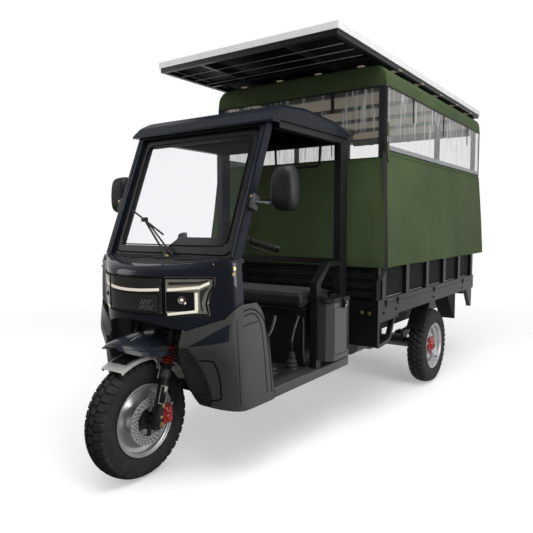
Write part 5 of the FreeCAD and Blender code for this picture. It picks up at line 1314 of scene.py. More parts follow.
def spiral_section(x, wave):
    """The wound cloth at x: a spiral from the core to the outside, in the YZ plane."""
    bite = sum(math.exp(-((x - strap) / 26) ** 2) for strap in STRAP_XS)
    outer = 28.5 - 3.5 * bite + 0.8 * wave(x)
    points = []
    for i in range(96):
        t = i / 95
        angle = 2 * math.pi * TURNS * t + 1.1
        radius = (7 + (outer - 7) * t) / 1000 * (1 + 0.03 * math.sin(3 * angle + x / 90) * t)
        points.append(on_roll(x, radius, angle))
    return points


wave = wobble(91, 4, 300)
roll = lofted("roll", [spiral_section(-540 + 1080 * i / 80, wave) for i in range(81)], canvas)
thick(roll, 1.6)
smoothed(roll, 50)
dressed(roll, "rear_curtain_rolled", "vehicle", ["rear_curtain_roll"])


# %% Straps
def webbing(points, width, material, across, thickness=1.6):
    """A flat strap along points, square across, lofted as a thin closed band."""
    across = Vector(across).normalized()
    lines = []
    for i, point in enumerate(points):
        ahead = points[min(i + 1, len(points) - 1)] - points[max(i - 1, 0)]
        up = ahead.cross(across).normalized() * (thickness / 1000)
        half = across * (width / 2000)
        lines.append([point - half, point + half, point + half + up, point - half + up])
    return smoothed(lofted("webbing", lines, material, around=True, caps=True), 40)


def buckle(centre, width, height, outwards, along):
    """A flat buckle frame with its middle bar."""
    out, up = Vector(outwards).normalized(), Vector(along).normalized()
    across = out.cross(up)
    w, h = width / 2000, height / 2000
    path = [centre + across * (w * a) + up * (h * b) for a, b in
            ((-1, -1), (-1, 1), (1, 1), (1, -1))]
    frame_bar = looped(path, 0.0022, silver)
    bar = swept([centre - across * w, centre, centre + across * w], 0.0018, silver, sides=8)
    return joined("buckle", [frame_bar, bar])


def around_roll(x):
    """A strap round the roll at x, hung from the header above it."""
    points = []
    for i in range(25):
        angle = math.radians(100 + 350 * i / 24)
        points.append(on_roll(x, 0.0275, angle))
    return webbing(points[::-1], 24, soft_rubber, (1, 0, 0))


print("straps and buckles are ready")

# %% Straps in place
straps = [around_roll(x) for x in STRAP_XS]
for side in (1, -1):
    for y in (1711, 2300, 2892):
        face = side * 609.5
        line = [at(face, y, 1905), at(face, y + 1, 1880), at(face - side * 2, y + 3, 1840),
                at(face - side * 3, y + 5, 1795), at(face - side * 1, y + 7, 1752)]
        straps.append(webbing(line, 20, soft_rubber, (0, -side, 0)))
    corner = [at(side * (602 + 40 * t), 1292 - 62 * t, 1536 - 645 * t) for t in (0, 0.25, 0.5, 0.75, 1)]
    corner += [at(side * 606.5, 1223, 800), at(side * 606.8, 1223, 700)]
    straps.append(webbing(corner, 24, soft_rubber, (side * 0.82, 0.57, 0)))
    edging = [at(side * 585, 1289.5, 1898), at(side * 585, 1289, 1700), at(side * 585, 1289.5, 1493)]
    straps.append(webbing(edging, 42, soft_rubber, (side, 0, 0)))
for x in (270, -190):
    line = [at(x, 1287.5, 1902), at(x + 1, 1286.5, 1870), at(x + 3, 1284.5, 1825), at(x + 2, 1286, 1778)]
    straps.append(webbing(line, 22, soft_rubber, (1, 0, 0)))
for side in (1, -1):
    post = side * 609.0
    line = [at(post, 1316, 1700), at(post + side * 1, 1317, 1640), at(post + side * 2, 1318, 1560),
            at(post + side * 8, 1320, 1480)]
    straps.append(webbing(line, 26, canvas, (0, -side, 0)))
    straps.append(buckle(at(post + side * 3.5, 1317, 1600), 34, 26, (side, 0, 0), (0, 0, 1)))
dressed(straps, "canopy_straps", "vehicle")

# %% [markdown]
# ## Nose with its sloping hood
#
# On the real vehicle the hood falls from the foot of the windscreen to a brow above the lamps. The
# solid's hood is flatter there, so a copy of its skin is taken, its doubled points are merged and
# its long edges are cut up, and the front of the hood is pressed down by up to 38 mm. The rest of
# the cowl stays as it is.

# %% Press the hood down
BROW_DROP = 0.038
BROW_FOOT, BROW_RISE = 0.905, 0.06


def copied(node, name, longest=0.03):
    """A merged copy of a solid's skin, with its long edges cut up, ready to be reshaped."""
    source = frame["nodes"][node]
    copy = source.copy()
    copy.data = source.data.copy()
    copy.name = name
    for key in list(copy.keys()):
        del copy[key]
    bpy.context.scene.collection.objects.link(copy)
    work = bmesh.new()
    work.from_mesh(copy.data)
    bmesh.ops.remove_doubles(work, verts=work.verts, dist=0.00002)
    for _ in range(3):
        long_edges = [edge for edge in work.edges if edge.calc_length() > longest]
        bmesh.ops.subdivide_edges(work, edges=long_edges, cuts=1)
        bmesh.ops.triangulate(work, faces=[face for face in work.faces if len(face.verts) > 3])
    work.to_mesh(copy.data)
    work.free()
    return copy


def eased(value):
    value = max(0.0, min(1.0, value))
    return value * value * (3 - 2 * value)


nose = copied("nose_cowl", "nose_cowl_skin")
front_y, rear_y = at(0, -30, 0).y, at(0, 190, 0).y
for vertex in nose.data.vertices:
    x, y, z = vertex.co
    back = max(0.0, min(1.0, (y - front_y) / (rear_y - front_y)))
    vertex.co.z -= BROW_DROP * (1 - back) * eased((z - BROW_FOOT) / BROW_RISE)
smoothed(nose, 45)
dressed(nose, "nose_cowl_skin", "vehicle", ["nose_cowl"])
print("hood pressed,", len(nose.data.polygons), "faces")

# %% [markdown]
# ## Upper fender with its blunt front
#
# The painted fender over the springs ends in a blunt lip on the real vehicle. On a copy of the
# solid's skin the tip is drawn back by 20 mm, and the rear stays as it is.

# %% Blunt the fender's front
TIP_BACK = 0.02

fender = copied("front_fender_upper", "upper_fender_skin")
wide_y, tip_y = at(0, -70, 0).y, at(0, -158, 0).y
for vertex in fender.data.vertices:
    share = max(0.0, min(1.0, (wide_y - vertex.co.y) / (wide_y - tip_y)))
    vertex.co.y += TIP_BACK * share ** 2
smoothed(fender, 28)
dressed(fender, "upper_fender_skin", "steering", ["front_fender_upper"])
reshaped = {"nose_cowl": nose, "front_fender_upper": fender}
print("fender's tip at", round(1000 * min(v.co.y for v in fender.data.vertices)), "mm")

# %% [markdown]
# ## Lines and panels that lie on a solid
#
# Seams, light strips and pressed lines follow a curved body. A line is drawn in one view, each of its
# points is sent onto the solid with a ray, and a low band is lofted along the places that were hit,
# standing on the surface's own normal. Panels do the same with a whole grid of rays.


# %% Bands by ray
def sent(node, point, look):
    """Where a ray along look, started well before the point, meets a node: place and normal."""
    solid = reshaped.get(node) or frame["nodes"][node]
    hit, place, normal, _ = solid.ray_cast(point - look * 0.25, look)
    return (place, normal) if hit else (point, -look)


def band(stations, width, low, high, painted, closed=False):
    """A flat band through (place, normal) stations, from low to high mm above the surface."""
    rows, count = [], len(stations)
    for i, (place, normal) in enumerate(stations):
        before = stations[i - 1][0] if i or closed else place
        after = stations[(i + 1) % count][0] if i < count - 1 or closed else place
        across = (after - before).normalized().cross(normal).normalized() * (width / 2000)
        low_at, high_at = place + normal * (low / 1000), place + normal * (high / 1000)
        rows.append([low_at - across, low_at + across, high_at + across, high_at - across])
    return smoothed(lofted("band", rows, painted, around=True, along=closed, caps=not closed), 40)


def inlaid(node, line, width, painted, look, closed=False, low=-0.6, high=0.5, step=8):
    """A band that follows a line drawn near a solid and sent onto it along look."""
    points = [*line, line[0]] if closed else line
    places = []
    for a, b in zip(points, points[1:]):
        count = max(1, round((b - a).length * 1000 / step))
        places += [a.lerp(b, i / count) for i in range(count)]
    if not closed:
        places.append(points[-1])
    return band([sent(node, p, look) for p in places], width, low, high, painted, closed)


print("rays meet the cowl at", [round(v, 3) for v in sent("nose_cowl", at(0, -200, 720), AHEAD)[0]])


# %% Panels by ray, round corners and mirror images
def panelled(node, pairs, painted, look, lift=0.5, wall=0.8, steps=10, extra=3):
    """A thin panel on a solid, from pairs of end points that sweep over its outline."""
    ends = []
    for (a, b), (c, d) in zip(pairs, pairs[1:]):
        ends += [(a.lerp(c, i / extra), b.lerp(d, i / extra)) for i in range(extra)]
    ends.append(pairs[-1])
    rows = []
    for a, b in ends:
        hits = [sent(node, a.lerp(b, i / steps), look) for i in range(steps + 1)]
        rows.append([place + normal * (lift / 1000) for place, normal in hits])
    sheet = lofted("panel", rows, painted)
    flipped_outwards(sheet, rows[len(rows) // 2][steps // 2] + look * 0.2)
    modified(sheet, "SOLIDIFY", thickness=wall / 1000, offset=-1)
    return smoothed(sheet, 40)


def rounded(points, radius, steps=4):
    """The corners of a closed line of points, each replaced by a small arc of points."""
    result = []
    for i, corner in enumerate(points):
        before, after = points[i - 1], points[(i + 1) % len(points)]
        start = corner + (before - corner).normalized() * radius
        end = corner + (after - corner).normalized() * radius
        for k in range(steps + 1):
            t = k / steps
            result.append(start.lerp(corner, t).lerp(corner.lerp(end, t), t))
    return result


def mirrored_copy(thing):
    """The same piece on the other side of the vehicle, with its faces turned back outwards."""
    copy = thing.copy()
    copy.data = thing.data.copy()
    bpy.context.scene.collection.objects.link(copy)
    copy.data.transform(Matrix.Scale(-1, 4, (1, 0, 0)))
    copy.data.flip_normals()
    return copy


print("panels, corners and mirror images are ready")

# %% [markdown]
# ## Headlamps and light strips
#
# Behind its clear cover a headlamp has a metallised bezel, a black box with the projector lens, and
# white strips that glow evenly along their length. Bezel and box are thin panels on the lamp's own
# curve. The strips are low bands with emission, as bright as the picture's white and no brighter, so
# they read as lit without washing out.

# %% Lamp finishes
pewter = finished("vacuum_metallised_bezel", "#b4b0a4", 0.28, tint=(90, 3, "#9a968a", "#c2beb2"),
        matt=(60, 3, 0.24, 0.4), Metallic=0.55)
gloss_black = finished("piano_black_acrylic", "#0b0c0e", 0.12, matt=(150, 3, 0.1, 0.2), Coat_Weight=0.6,
        Coat_Roughness=0.04)
smoked = finished("smoked_polycarbonate", "#2b2b2b", 0.22, tint=(220, 2, "#262624", "#3a3936"),
        Coat_Weight=0.5)
# The strips' glow is the lamp's own light; the same glow on the projector's domes is a painted highlight.
strip_glow_and_lens_glint = finished("light_guide_strip", "#efe9da", 0.4, matt=(40, 2, 0.35, 0.5),
        Emission_Strength=0.3, Emission_Color=linear("#fff6e2"))
# One near-black finish serves the real rubber lips, brackets and strips, and the narrow bands laid on grooves and
# gaps as painted shade.
line_dark = finished("shadow_gap_rubber", "#08090b", 0.7, matt=(30, 2, 0.6, 0.8), Specular_IOR_Level=0.2)
painted_node("headlamps", pewter)
painted_node("grille_panel", smoked)
print("lamp finishes ready")

# %% [markdown]
# ## Other paints on the bodywork
#
# The leg shields, the toolbox and the floor are a satin grey with fine flakes. The lower fender is
# sprayed with coarse aluminium flake, which scatters light like a pale matt metal. Pillars and roof
# are the body's navy blue gone dull, so they mirror much less of the studio than the cowl does.

# %% Grey, silver and dull blue
shield_grey = finished("satin_grey_paint", "#4b4b4a", 0.34, tint=(1.2, 2, "#454544", "#525150"),
        matt=(DUST_MM, 4, 0.28, 0.42), Metallic=0.15, Coat_Weight=0.6, Coat_Roughness=0.1,
        Specular_IOR_Level=0.35)
bright_paint = finished("aluminium_flake_paint", "#dcdad4", 0.36, tint=(40, 3, "#d2d0ca", "#e4e2dd"),
        matt=(60, 3, 0.3, 0.42), Metallic=0.3)
dull_paint = finished("navy_paint_waxed_dull", "#141a24", 0.3, tint=(30, 3, "#10151d", "#18202b"),
        matt=(DUST_MM, 4, 0.24, 0.36), Specular_IOR_Level=0.24)
for node, painted in (("leg_shields", shield_grey), ("toolbox", shield_grey), ("cab_floor", shield_grey),
                      ("front_fender_lower", bright_paint), ("front_pillars", dull_paint),
                      ("cab_roof", dull_paint)):
    painted_node(node, painted)
print("six solids repainted")


# %% Left lamp
def front(points):
    """(x, z) points as places ahead of the nose."""
    return [at(x, -60, z) for x, z in points]


def headlamp():
    node = "headlamps"
    box = [front([(180, z), (280, z)]) for z in (760, 800, 842)]
    side_zone = [front([(302, 766), (310, 757)]), front([(300, 800), (306, 796)]),
                 front([(300, 846), (316, 836)]), front([(318, 858), (332, 862)])]
    brow_zone = [front([(190, 870), (190, 884)]), front([(300, 876), (296, 886)]),
                 front([(330, 888), (326, 892)])]
    black = [panelled(node, zone, painted, AHEAD, 0.7)
             for zone, painted in ((box, gloss_black), (side_zone, smoked), (brow_zone, smoked))]
    outline = rounded(front([(183, 761), (279, 761), (279, 839), (183, 839)]), 0.006)
    black.append(inlaid(node, outline, 3.0, line_dark, AHEAD, closed=True, high=1.2))
    for shift in (0, 9, 18):
        edge = front([(316 + shift * 0.8, 752 + shift), (311 + shift * 0.8, 792), (319 + shift, 836),
                      (337 + shift * 0.6, 866), (340 + shift * 0.5, 893 - shift * 0.4)])
        black.append(inlaid(node, edge, 2.2, smoked if shift == 9 else pewter, AHEAD, high=1.6))
    black.append(inlaid(node, front([(180, 892), (300, 894), (344, 897)]), 2.0, silver, AHEAD, high=0.9))
    lights = [inlaid(node, front(line), width, strip_glow_and_lens_glint, AHEAD, high=2.0)
              for line, width in (([(185, 850), (300, 861)], 12), ([(298, 861), (333, 880)], 11),
                                  ([(288, 838), (288, 763)], 13), ([(184, 746), (292, 760)], 11))]
    place, normal = sent(node, at(238, -60, 808), AHEAD)
    aim = Matrix.Translation(place) @ normal.to_track_quat("Z", "Y").to_matrix().to_4x4()
    ring_bar = turned([(0, 0.013), (0.004, 0.0165), (0.006, 0.0165), (0.0065, 0.0135), (0.003, 0.012)],
                      chrome, "Z", 40, closed=True)
    # The lens dome and a smaller dome beside it glow like the strips: a painted highlight for the glints on the
    # projector's glass.
    dome = turned([(0.0, 0.013), (0.0035, 0.012), (0.0062, 0.0085), (0.0074, 0.0045), (0.0078, 0)],
                  strip_glow_and_lens_glint, "Z", 24)
    extra = turned([(0.0, 0.006), (0.003, 0.0055), (0.0045, 0.003), (0.005, 0)], strip_glow_and_lens_glint, "Z", 16)
    pieces = [moved(ring_bar, aim), moved(dome, aim @ Matrix.Scale(0.62, 4)),
              moved(extra, aim @ Matrix.Translation((0.013, -0.013, 0)))]
    return joined("lamp", [*black, *lights, *pieces])


print("the lamp is drawn", -at(0, -60, 0).y, "m ahead of the middle")


# %% Lamp gap, and both lamps
def lamp_gap():
    """A dark band of painted shade for the gap between the lamp's cover and the cowl, just inside the cover's
    edge.
    """
    edge = front([(175, 745), (175, 899), (300, 899.5), (348, 899), (349, 868), (331, 838), (322, 792),
                  (328, 745), (260, 745)])
    return inlaid("headlamps", edge, 6.5, line_dark, AHEAD, closed=True, high=1.8)


left_lamp = joined("lamp_and_gap", [headlamp(), lamp_gap()])
dressed([mirrored_copy(left_lamp), left_lamp], "headlamp_faces", "vehicle")

# %% [markdown]
# ## Grille panel
#
# Between the lamps sits a closed panel of smoked plastic with a pale outline, one more light strip
# and two short rows of slanted slits. A dark band round it, and another round its well, are painted
# shade for the gap and the well. Every line is sent onto the panel by rays, the slits too, because the
# panel is curved.


# %% Grille
def on_grille(line, width, painted, **more):
    return inlaid("grille_panel", line, width, painted, AHEAD, **more)


grille = [panelled("grille_panel", [front([(-146, z), (146, z)]) for z in (757, 790, 829)], smoked, AHEAD,
                   1.2, steps=18)]
well = rounded(front([(-150, 753), (150, 753), (150, 833), (-150, 833)]), 0.012)
grille.append(on_grille(well, 3.2, line_dark, closed=True, high=0.8))
outer_line = rounded(front([(-162, 747), (162, 747), (162, 896), (-162, 896)]), 0.01)
grille.append(on_grille(outer_line, 1.8, pewter, closed=True, high=0.9))
arc = [(x, 845 + 6 * (abs(x) / 150) ** 2) for x in (-152, -110, -60, 0, 60, 110, 152)]
grille.append(on_grille(front(arc), 12, strip_glow_and_lens_glint, high=2.4))
for line_of_slits, height in ((0, 764), (1, 788)):
    for k in range(5 - line_of_slits):
        foot = at(60 + 6 * line_of_slits + 13 * k, -60, height)
        grille.append(on_grille([foot, foot + Vector((0.013, 0, 0.019))], 2.4, pewter, low=1.0, high=1.9))
gap = front([(-165, 745), (165, 745), (165, 899), (-165, 899)])
grille.append(on_grille(gap, 6.5, line_dark, closed=True, high=1.6))
dressed(grille, "grille_details", "vehicle")

# %% [markdown]
# ## Shields, seams and bolts
#
# The leg shields are pressed with a dark triangular scoop, a raised loop near the wheel arch and
# two long lines on the side. A groove looks dark because it shades itself, so narrow dark bands
# stand in for grooves only a millimetre deep. Behind the wheel hangs a liner of creased rubber
# sheet. Zinc bolts fix the windscreen pillars.


# %% Pressed lines of a leg shield
def shield_lines():
    node, lines = "leg_shields", []
    top = [(258, 609), (300, 633), (350, 668), (400, 701), (416, 710)]
    low = [(262, 607), (300, 613), (350, 621), (400, 631), (415, 637)]
    pairs = [(at(a[0], 0, a[1] - 2), at(b[0], 0, b[1] + 1)) for a, b in zip(top, low)]
    lines.append(panelled(node, pairs, paint, AHEAD, 0.6, steps=6))
    loop = [(291, 544), (317, 548), (349, 545), (355, 507), (356, 450), (355, 402), (353, 372), (326, 361),
            (290, 358)]
    lines.append(inlaid(node, [at(x, 60, z) for x, z in loop], 7, line_dark, AHEAD, high=0.6))
    seam = [(432, 725), (433, 672), (434, 617), (434, 540), (434, 463), (433, 400), (433, 352)]
    lines.append(inlaid(node, [at(x, 80, z) for x, z in seam], 2.6, line_dark, AHEAD, high=0.5))
    ridge = [(421, 722), (423, 617), (424, 463), (422, 352)]
    lines.append(inlaid(node, [at(x, 80, z) for x, z in ridge], 1.8, shield_grey, AHEAD, high=1.2))
    outer = [(204, 757), (238, 763), (262, 760), (284, 752), (306, 738), (330, 720), (350, 690), (362, 640),
             (373, 575), (384, 511), (394, 430), (401, 362)]
    inner = [(204, 735), (238, 742), (262, 741), (282, 733), (306, 711), (326, 672), (338, 600), (350, 500),
             (358, 430), (366, 367)]
    side = [(200, 692), (245, 699), (300, 701)]
    for line, width in ((outer, 6), (inner, 5), (side, 4)):
        path = [at(600, y, z) for y, z in line]
        lines.append(inlaid(node, path, width, line_dark, ASIDE, high=0.5))
    liner_edges = ((224, 604, 262, 603), (226, 560, 284, 562), (229, 520, 290, 524), (229, 470, 298, 470),
                   (228, 420, 306, 405), (227, 380, 304, 352), (228, 345, 292, 330))
    pairs = [(at(x0, 0, z0), at(x1, 0, z1)) for x0, z0, x1, z1 in liner_edges]
    liner = panelled(node, pairs, soft_rubber, AHEAD, 3.0, wall=1.5, steps=12, extra=6)
    fold = random.Random(5)
    for vertex in liner.data.vertices:
        vertex.co.y -= 0.004 * fold.random()
    lines.append(smoothed(liner, 20))
    return joined("shield", lines)


left_shield = shield_lines()
dressed([mirrored_copy(left_shield), left_shield], "shield_lines", "vehicle")

# %% Hood panel and bolts
hood_pairs = []
for i in range(14):
    x = -364 + 56 * i
    front_y = 32 + 142 * (x / 350) ** 2
    hood_pairs.append((at(x, min(front_y, 206), 1000), at(x, 221, 1000)))
hood = [panelled("nose_cowl", hood_pairs, plastic, DOWN, 0.6, steps=8)]
for side in (1, -1):
    rib = [at(side * 60, 150, 1000), at(side * 150, 118, 1000), at(side * 250, 140, 1000),
           at(side * 320, 196, 1000)]
    hood.append(inlaid("nose_cowl", rib, 7, plastic, DOWN, high=5))
    hood.append(inlaid("nose_cowl", [at(side * 40, 205, 1000), at(side * 300, 212, 1000)], 6, plastic, DOWN,
                       high=4))
spine = [at(-40, 150, 1000), at(0, 132, 1000), at(60, 150, 1000)]
hood.append(inlaid("nose_cowl", spine, 26, plastic, DOWN, high=6))
dressed(hood, "hood_panel", "vehicle")

bolts = []
for side in (1, -1):
    for z in (941, 917):
        place, normal = sent("nose_cowl", at(side * 423, 60, z), AHEAD)
        bolts.append(hexagon(place, normal, 0.0056, 0.006, zinc))
dressed(bolts, "cab_bolts", "vehicle")

# %% [markdown]
# ## Fork, springs and fenders
#
# A coil spring is a wire on a helix. It stands round the fork's leg, so it is grown upright with the
# coil tree and then leant back with the fork. Inside it runs a plain rubber sleeve, between a black
# cup and a cast collar. Plates, stay bars, bosses and bolts are what a fitter would bolt on later.

# %% The fork's own frame
RAKE = math.radians(16)
ON_FORK = (Matrix.Translation(at(0, 27 * math.cos(RAKE), 262 - 27 * math.sin(RAKE)))
           @ Matrix.Rotation(-RAKE, 4, "X"))
LEG_X, LEG_Y = 0.114, -0.027


def on_leg(thing, side, height=0.0):
    return moved(thing, ON_FORK @ Matrix.Translation((side * LEG_X, LEG_Y, height)))


springs, fittings = [], []
for side in (1, -1):
    wound = grown(COIL, Turns=6.0, Radius=0.0265, Height=0.0795, Wire=0.0042, Finish=red_paint)
    springs.append(on_leg(smoothed(wound, 60), side, 0.2629))
    fittings.append(on_leg(drum(0.2607, 0.3445, 0.0205, soft_rubber), side))
    cup = turned([(0.252, 0.0), (0.252, 0.030), (0.2585, 0.032), (0.262, 0.032), (0.262, 0.0)], powder,
                 "Z", 32)
    fittings.append(on_leg(cup, side))
    collar = [(0.0, 0.0), (0.0, 0.0245), (0.01, 0.0255), (0.034, 0.0255), (0.036, 0.024), (0.036, 0.0)]
    fittings.append(on_leg(turned([(z + 0.2, r) for z, r in collar], cast, "Z", 32), side))
dressed(springs, "fork_coil_springs", "steering",
        ["fork_springs"])

# %% Leg plates and stay bars
for side in (1, -1):
    turn = Matrix.Rotation(math.radians(58 * side), 4, "Z")
    plate = slab((-0.016, -0.031, 0.086), (0.016, -0.0235, 0.166), gloss_black, 0.002)
    rim_line = [Vector((x, -0.0315, z)) for x, z in ((-0.0145, 0.088), (0.0145, 0.088), (0.0145, 0.164),
                                                     (-0.0145, 0.164))]
    rim_bar = looped(rim_line, 0.0018, pewter)
    for thing in (plate, rim_bar):
        fittings.append(on_leg(moved(thing, turn), side))
    for height in (0.03, 0.078):
        head = moved(bolt(0.0052, 0.008, zinc), turn @ Matrix.Translation((0.012, -0.026, height))
                     @ Matrix.Rotation(math.radians(90), 4, "X"))
        fittings.append(on_leg(head, side))
    stay = [at(side * 80, 20, 542), at(side * 80, 45, 520), at(side * 82, 60, 494), at(side * 84, 50, 472),
            at(side * 86, 40, 448)]
    fittings.append(swept(stay, 0.0042, bright_paint, sides=10))
print("fittings so far:", len(fittings))

# %% Fender lines, mat, caliper bosses and hose
# A dark band under each side of the fender's lip is painted shade.
lip = [(-122, 600), (-60, 584), (10, 575), (100, 570)]
for side in (1, -1):
    line = [at(side * (88 + 0.28 * (y + 122)), y, z + 6) for y, z in lip]
    fittings.append(inlaid("front_fender_upper", line, 2.4, line_dark, Vector((-side, 0, 0)), high=0.6))
# Two dark bands on the fender's top are painted shade for a shallow slot, with a silver line beside one.
for ends, width, painted, high in ((((36, -70), (28, -6)), 7, line_dark, 0.5),
                                   (((43, -72), (35, -4)), 2.5, silver, 1.6),
                                   (((-36, -70), (-28, -6)), 7, line_dark, 0.5)):
    line = [at(x, y, 700) for x, y in ends]
    fittings.append(inlaid("front_fender_upper", line, width, painted, DOWN, high=high))
MAT_RADIUS = 288
mat = []
for i in range(9):
    angle = math.radians(84 + 3.4 * i)
    foot = at(0, -MAT_RADIUS * math.cos(math.pi - angle), 262 + MAT_RADIUS * math.sin(angle))
    mat.append((foot + Vector((-0.047, 0, 0)), foot + Vector((0.047, 0, 0))))
rows = [[a.lerp(b, k / 4) for k in range(5)] for a, b in mat]
pad = lofted("mat", rows, soft_rubber)
flipped_outwards(pad, at(0, 0, 262))
fittings.append(smoothed(modified(pad, "SOLIDIFY", thickness=0.0025, offset=1), 40))
for y, z in ((84, 296), (92, 262)):
    boss = [(0, 0), (0, 0.0165), (0.006, 0.0155), (0.008, 0.012), (0.0065, 0.009), (0.0065, 0)]
    fittings.append(turned(boss, red_paint, "X", 28, at(97.5, y, z)))
hose = [at(100, 100, 318), at(112, 112, 342), at(118, 92, 400), at(110, 60, 470), at(100, 44, 520)]
fittings.append(swept(hose, 0.0042, soft_rubber, sides=10))
fittings.append(hexagon(at(104, 104, 322), (0.6, 0.2, 0.5), 0.0055, 0.007, silver))
dressed(fittings, "fork_fittings", "steering")

# %% [markdown]
# ## Windscreen, wiper and mirrors
#
# The glass is held by a rubber lip all round, painted bars stand along the frame's sides, and a dark
# slab fills the gap under the roof's lip. The wiper has two parallel arms, which keep its blade at
# the same slant as it swings, on a pivot with a zinc nut. A mirror is a moulded shell on a clamped
# arm: its outline is a rounded trapezoid, and the shell is lofted from that outline to a smaller one
# in front of it.

# %% Screen plane
SCREEN_LEAN = math.radians(21.5)


def screen(x, z, off=0.0):
    """A place off mm in front of the windscreen's frame plane."""
    lean = math.tan(SCREEN_LEAN)
    return at(x, 196 + (z - 986) * lean - off / math.cos(SCREEN_LEAN), z)


def screen_loop(half, low, high, corner, off, radius, painted):
    line = rounded([screen(-half, low, off), screen(half, low, off), screen(half, high, off),
                    screen(-half, high, off)], corner, 5)
    return looped(line, radius, painted)


trim = [screen_loop(374, 992, 1564, 0.05, 1.5, 0.0035, line_dark),
        screen_loop(340, 1030, 1534, 0.045, 2.0, 0.003, line_dark)]
for side in (1, -1):
    trim.append(swept([screen(side * 399, z, 19) for z in (990, 1180, 1380, 1560)], 0.0032, paint, sides=8))
trim.append(slab(at(-400, 408, 1566), at(400, 432, 1589), line_dark, 0.004))
dressed(trim, "screen_trim", "vehicle")

# %% Wiper
arm_foot, arm_tip = at(34, 160, 973), screen(-205, 1151, 17)
second_foot, second_tip = at(62, 167, 984), screen(-176, 1136, 15)
arm = [arm_foot, *(arm_foot.lerp(arm_tip, share) for share in (0.3, 0.65)), arm_tip]
root = [arm_foot, *(arm_foot.lerp(arm_tip, share) for share in (0.12, 0.3))]
second_arm = [second_foot, second_foot.lerp(second_tip, 0.5), second_tip]
wiper = [swept(arm, 0.0052, powder, sides=8), swept(root, 0.0085, powder, sides=10),
         swept(second_arm, 0.0042, powder, sides=8)]
blade_low, blade_high = screen(-52, 1078, 11), screen(-328, 1202, 11)
wiper.append(webbing([blade_low.lerp(blade_high, i / 8) for i in range(9)], 9, soft_rubber,
                     (0, math.sin(SCREEN_LEAN), math.cos(SCREEN_LEAN)), 3.0))
spine = [blade_low.lerp(blade_high, i / 6) + Vector((0, -0.006, 0.002)) for i in range(7)]
wiper.append(swept(spine, 0.0035, powder, sides=8))
grip = slab((-0.02, -0.006, -0.011), (0.02, 0.006, 0.011), powder, 0.003)
wiper.append(moved(grip, Matrix.Translation(screen(-204, 1150, 16))))
pivot = turned([(0, 0), (0, 0.017), (0.012, 0.016), (0.018, 0.013), (0.018, 0)], powder, "Z", 24)
wiper.append(moved(pivot, Matrix.Translation(at(34, 166, 962))))
wiper.append(hexagon(at(38, 150, 980), (0.1, -0.7, 0.7), 0.009, 0.009, zinc))
dressed(wiper, "wiper_arms", "vehicle", ["wiper"])


# %% Mirror outline
def mirror_outline(scale, steps=40):
    """A rounded trapezoid, narrower at the top, as (x, z) in metres about its centre."""
    points = []
    for i in range(steps):
        angle = 2 * math.pi * i / steps
        c, s = math.cos(angle), math.sin(angle)
        x = 0.063 * math.copysign(abs(c) ** 0.5, c)
        z = 0.097 * math.copysign(abs(s) ** 0.5, s)
        x *= 1 - 0.16 * max(0, z) / 0.097
        points.append((x * scale, z * scale))
    return points


print("mirror outline of", len(mirror_outline(1.0)), "points")


# %% Both mirrors
def mirror(side):
    centre = at(side * 531, 372, 1284)
    depths = [(-0.030, 0.30), (-0.029, 0.55), (-0.026, 0.74), (-0.018, 0.88), (-0.006, 0.96),
              (0.010, 0.995), (0.022, 1.0), (0.025, 0.985), (0.025, 0.93), (0.021, 0.92)]
    rows = [[centre + Vector((x, depth, z)) for x, z in mirror_outline(scale)] for depth, scale in depths]
    shell = lofted("shell", rows, plastic, around=True, caps=True)
    recalculated(shell)
    pane = [[centre + Vector((x, depth, z)) for x, z in mirror_outline(scale)]
            for depth, scale in ((0.0205, 0.91), (0.0225, 0.91), (0.0232, 0.88))]
    pieces = [smoothed(shell, 40), smoothed(lofted("pane", pane, chrome, around=True, caps=True), 40)]
    foot = at(side * 428, 296, 1222)
    bend = [foot, foot + Vector((side * 0.022, 0.01, -0.004)), foot + Vector((side * 0.052, 0.028, -0.005)),
            centre + Vector((-side * 0.052, -0.004, -0.062)),
            centre + Vector((-side * 0.02, -0.008, -0.06))]
    pieces.append(swept(bend, 0.0085, cast, sides=12))
    pieces.append(swept([bend[3], bend[4], centre + Vector((side * 0.006, -0.012, -0.062))], 0.0098, silver,
                        sides=12))
    clamp = slab((-0.009, -0.022, -0.034), (0.011, 0.022, 0.034), cast, 0.004)
    lean = Matrix.Rotation(-SCREEN_LEAN, 4, "X")
    pieces.append(moved(clamp, Matrix.Translation(foot) @ lean))
    pieces.append(slab(centre + Vector((-side * 0.086, -0.014, -0.074)),
                       centre + Vector((-side * 0.056, 0.014, -0.046)), powder, 0.004))
    for z in (-0.024, 0.024):
        pieces.append(hexagon(foot + Vector((0, -0.021, z)), (0, -1, 0.3), 0.0048, 0.005, zinc))
    lip = [centre + Vector((x, 0.024, z)) for x, z in mirror_outline(1.0)]
    pieces.append(looped(lip, 0.003, plastic, 6))
    return joined("mirror", pieces)


dressed([mirror(1), mirror(-1)], "mirror_shells", "vehicle",
        ["mirrors"])

# %% [markdown]
# ## Handlebar controls
#
# Each end of the bar has a ribbed rubber grip, a switch block and a lever on its bracket. The grip's
# ribs are turned in one profile. Levers are bars that end in a ball, so that a hand can't slip off.


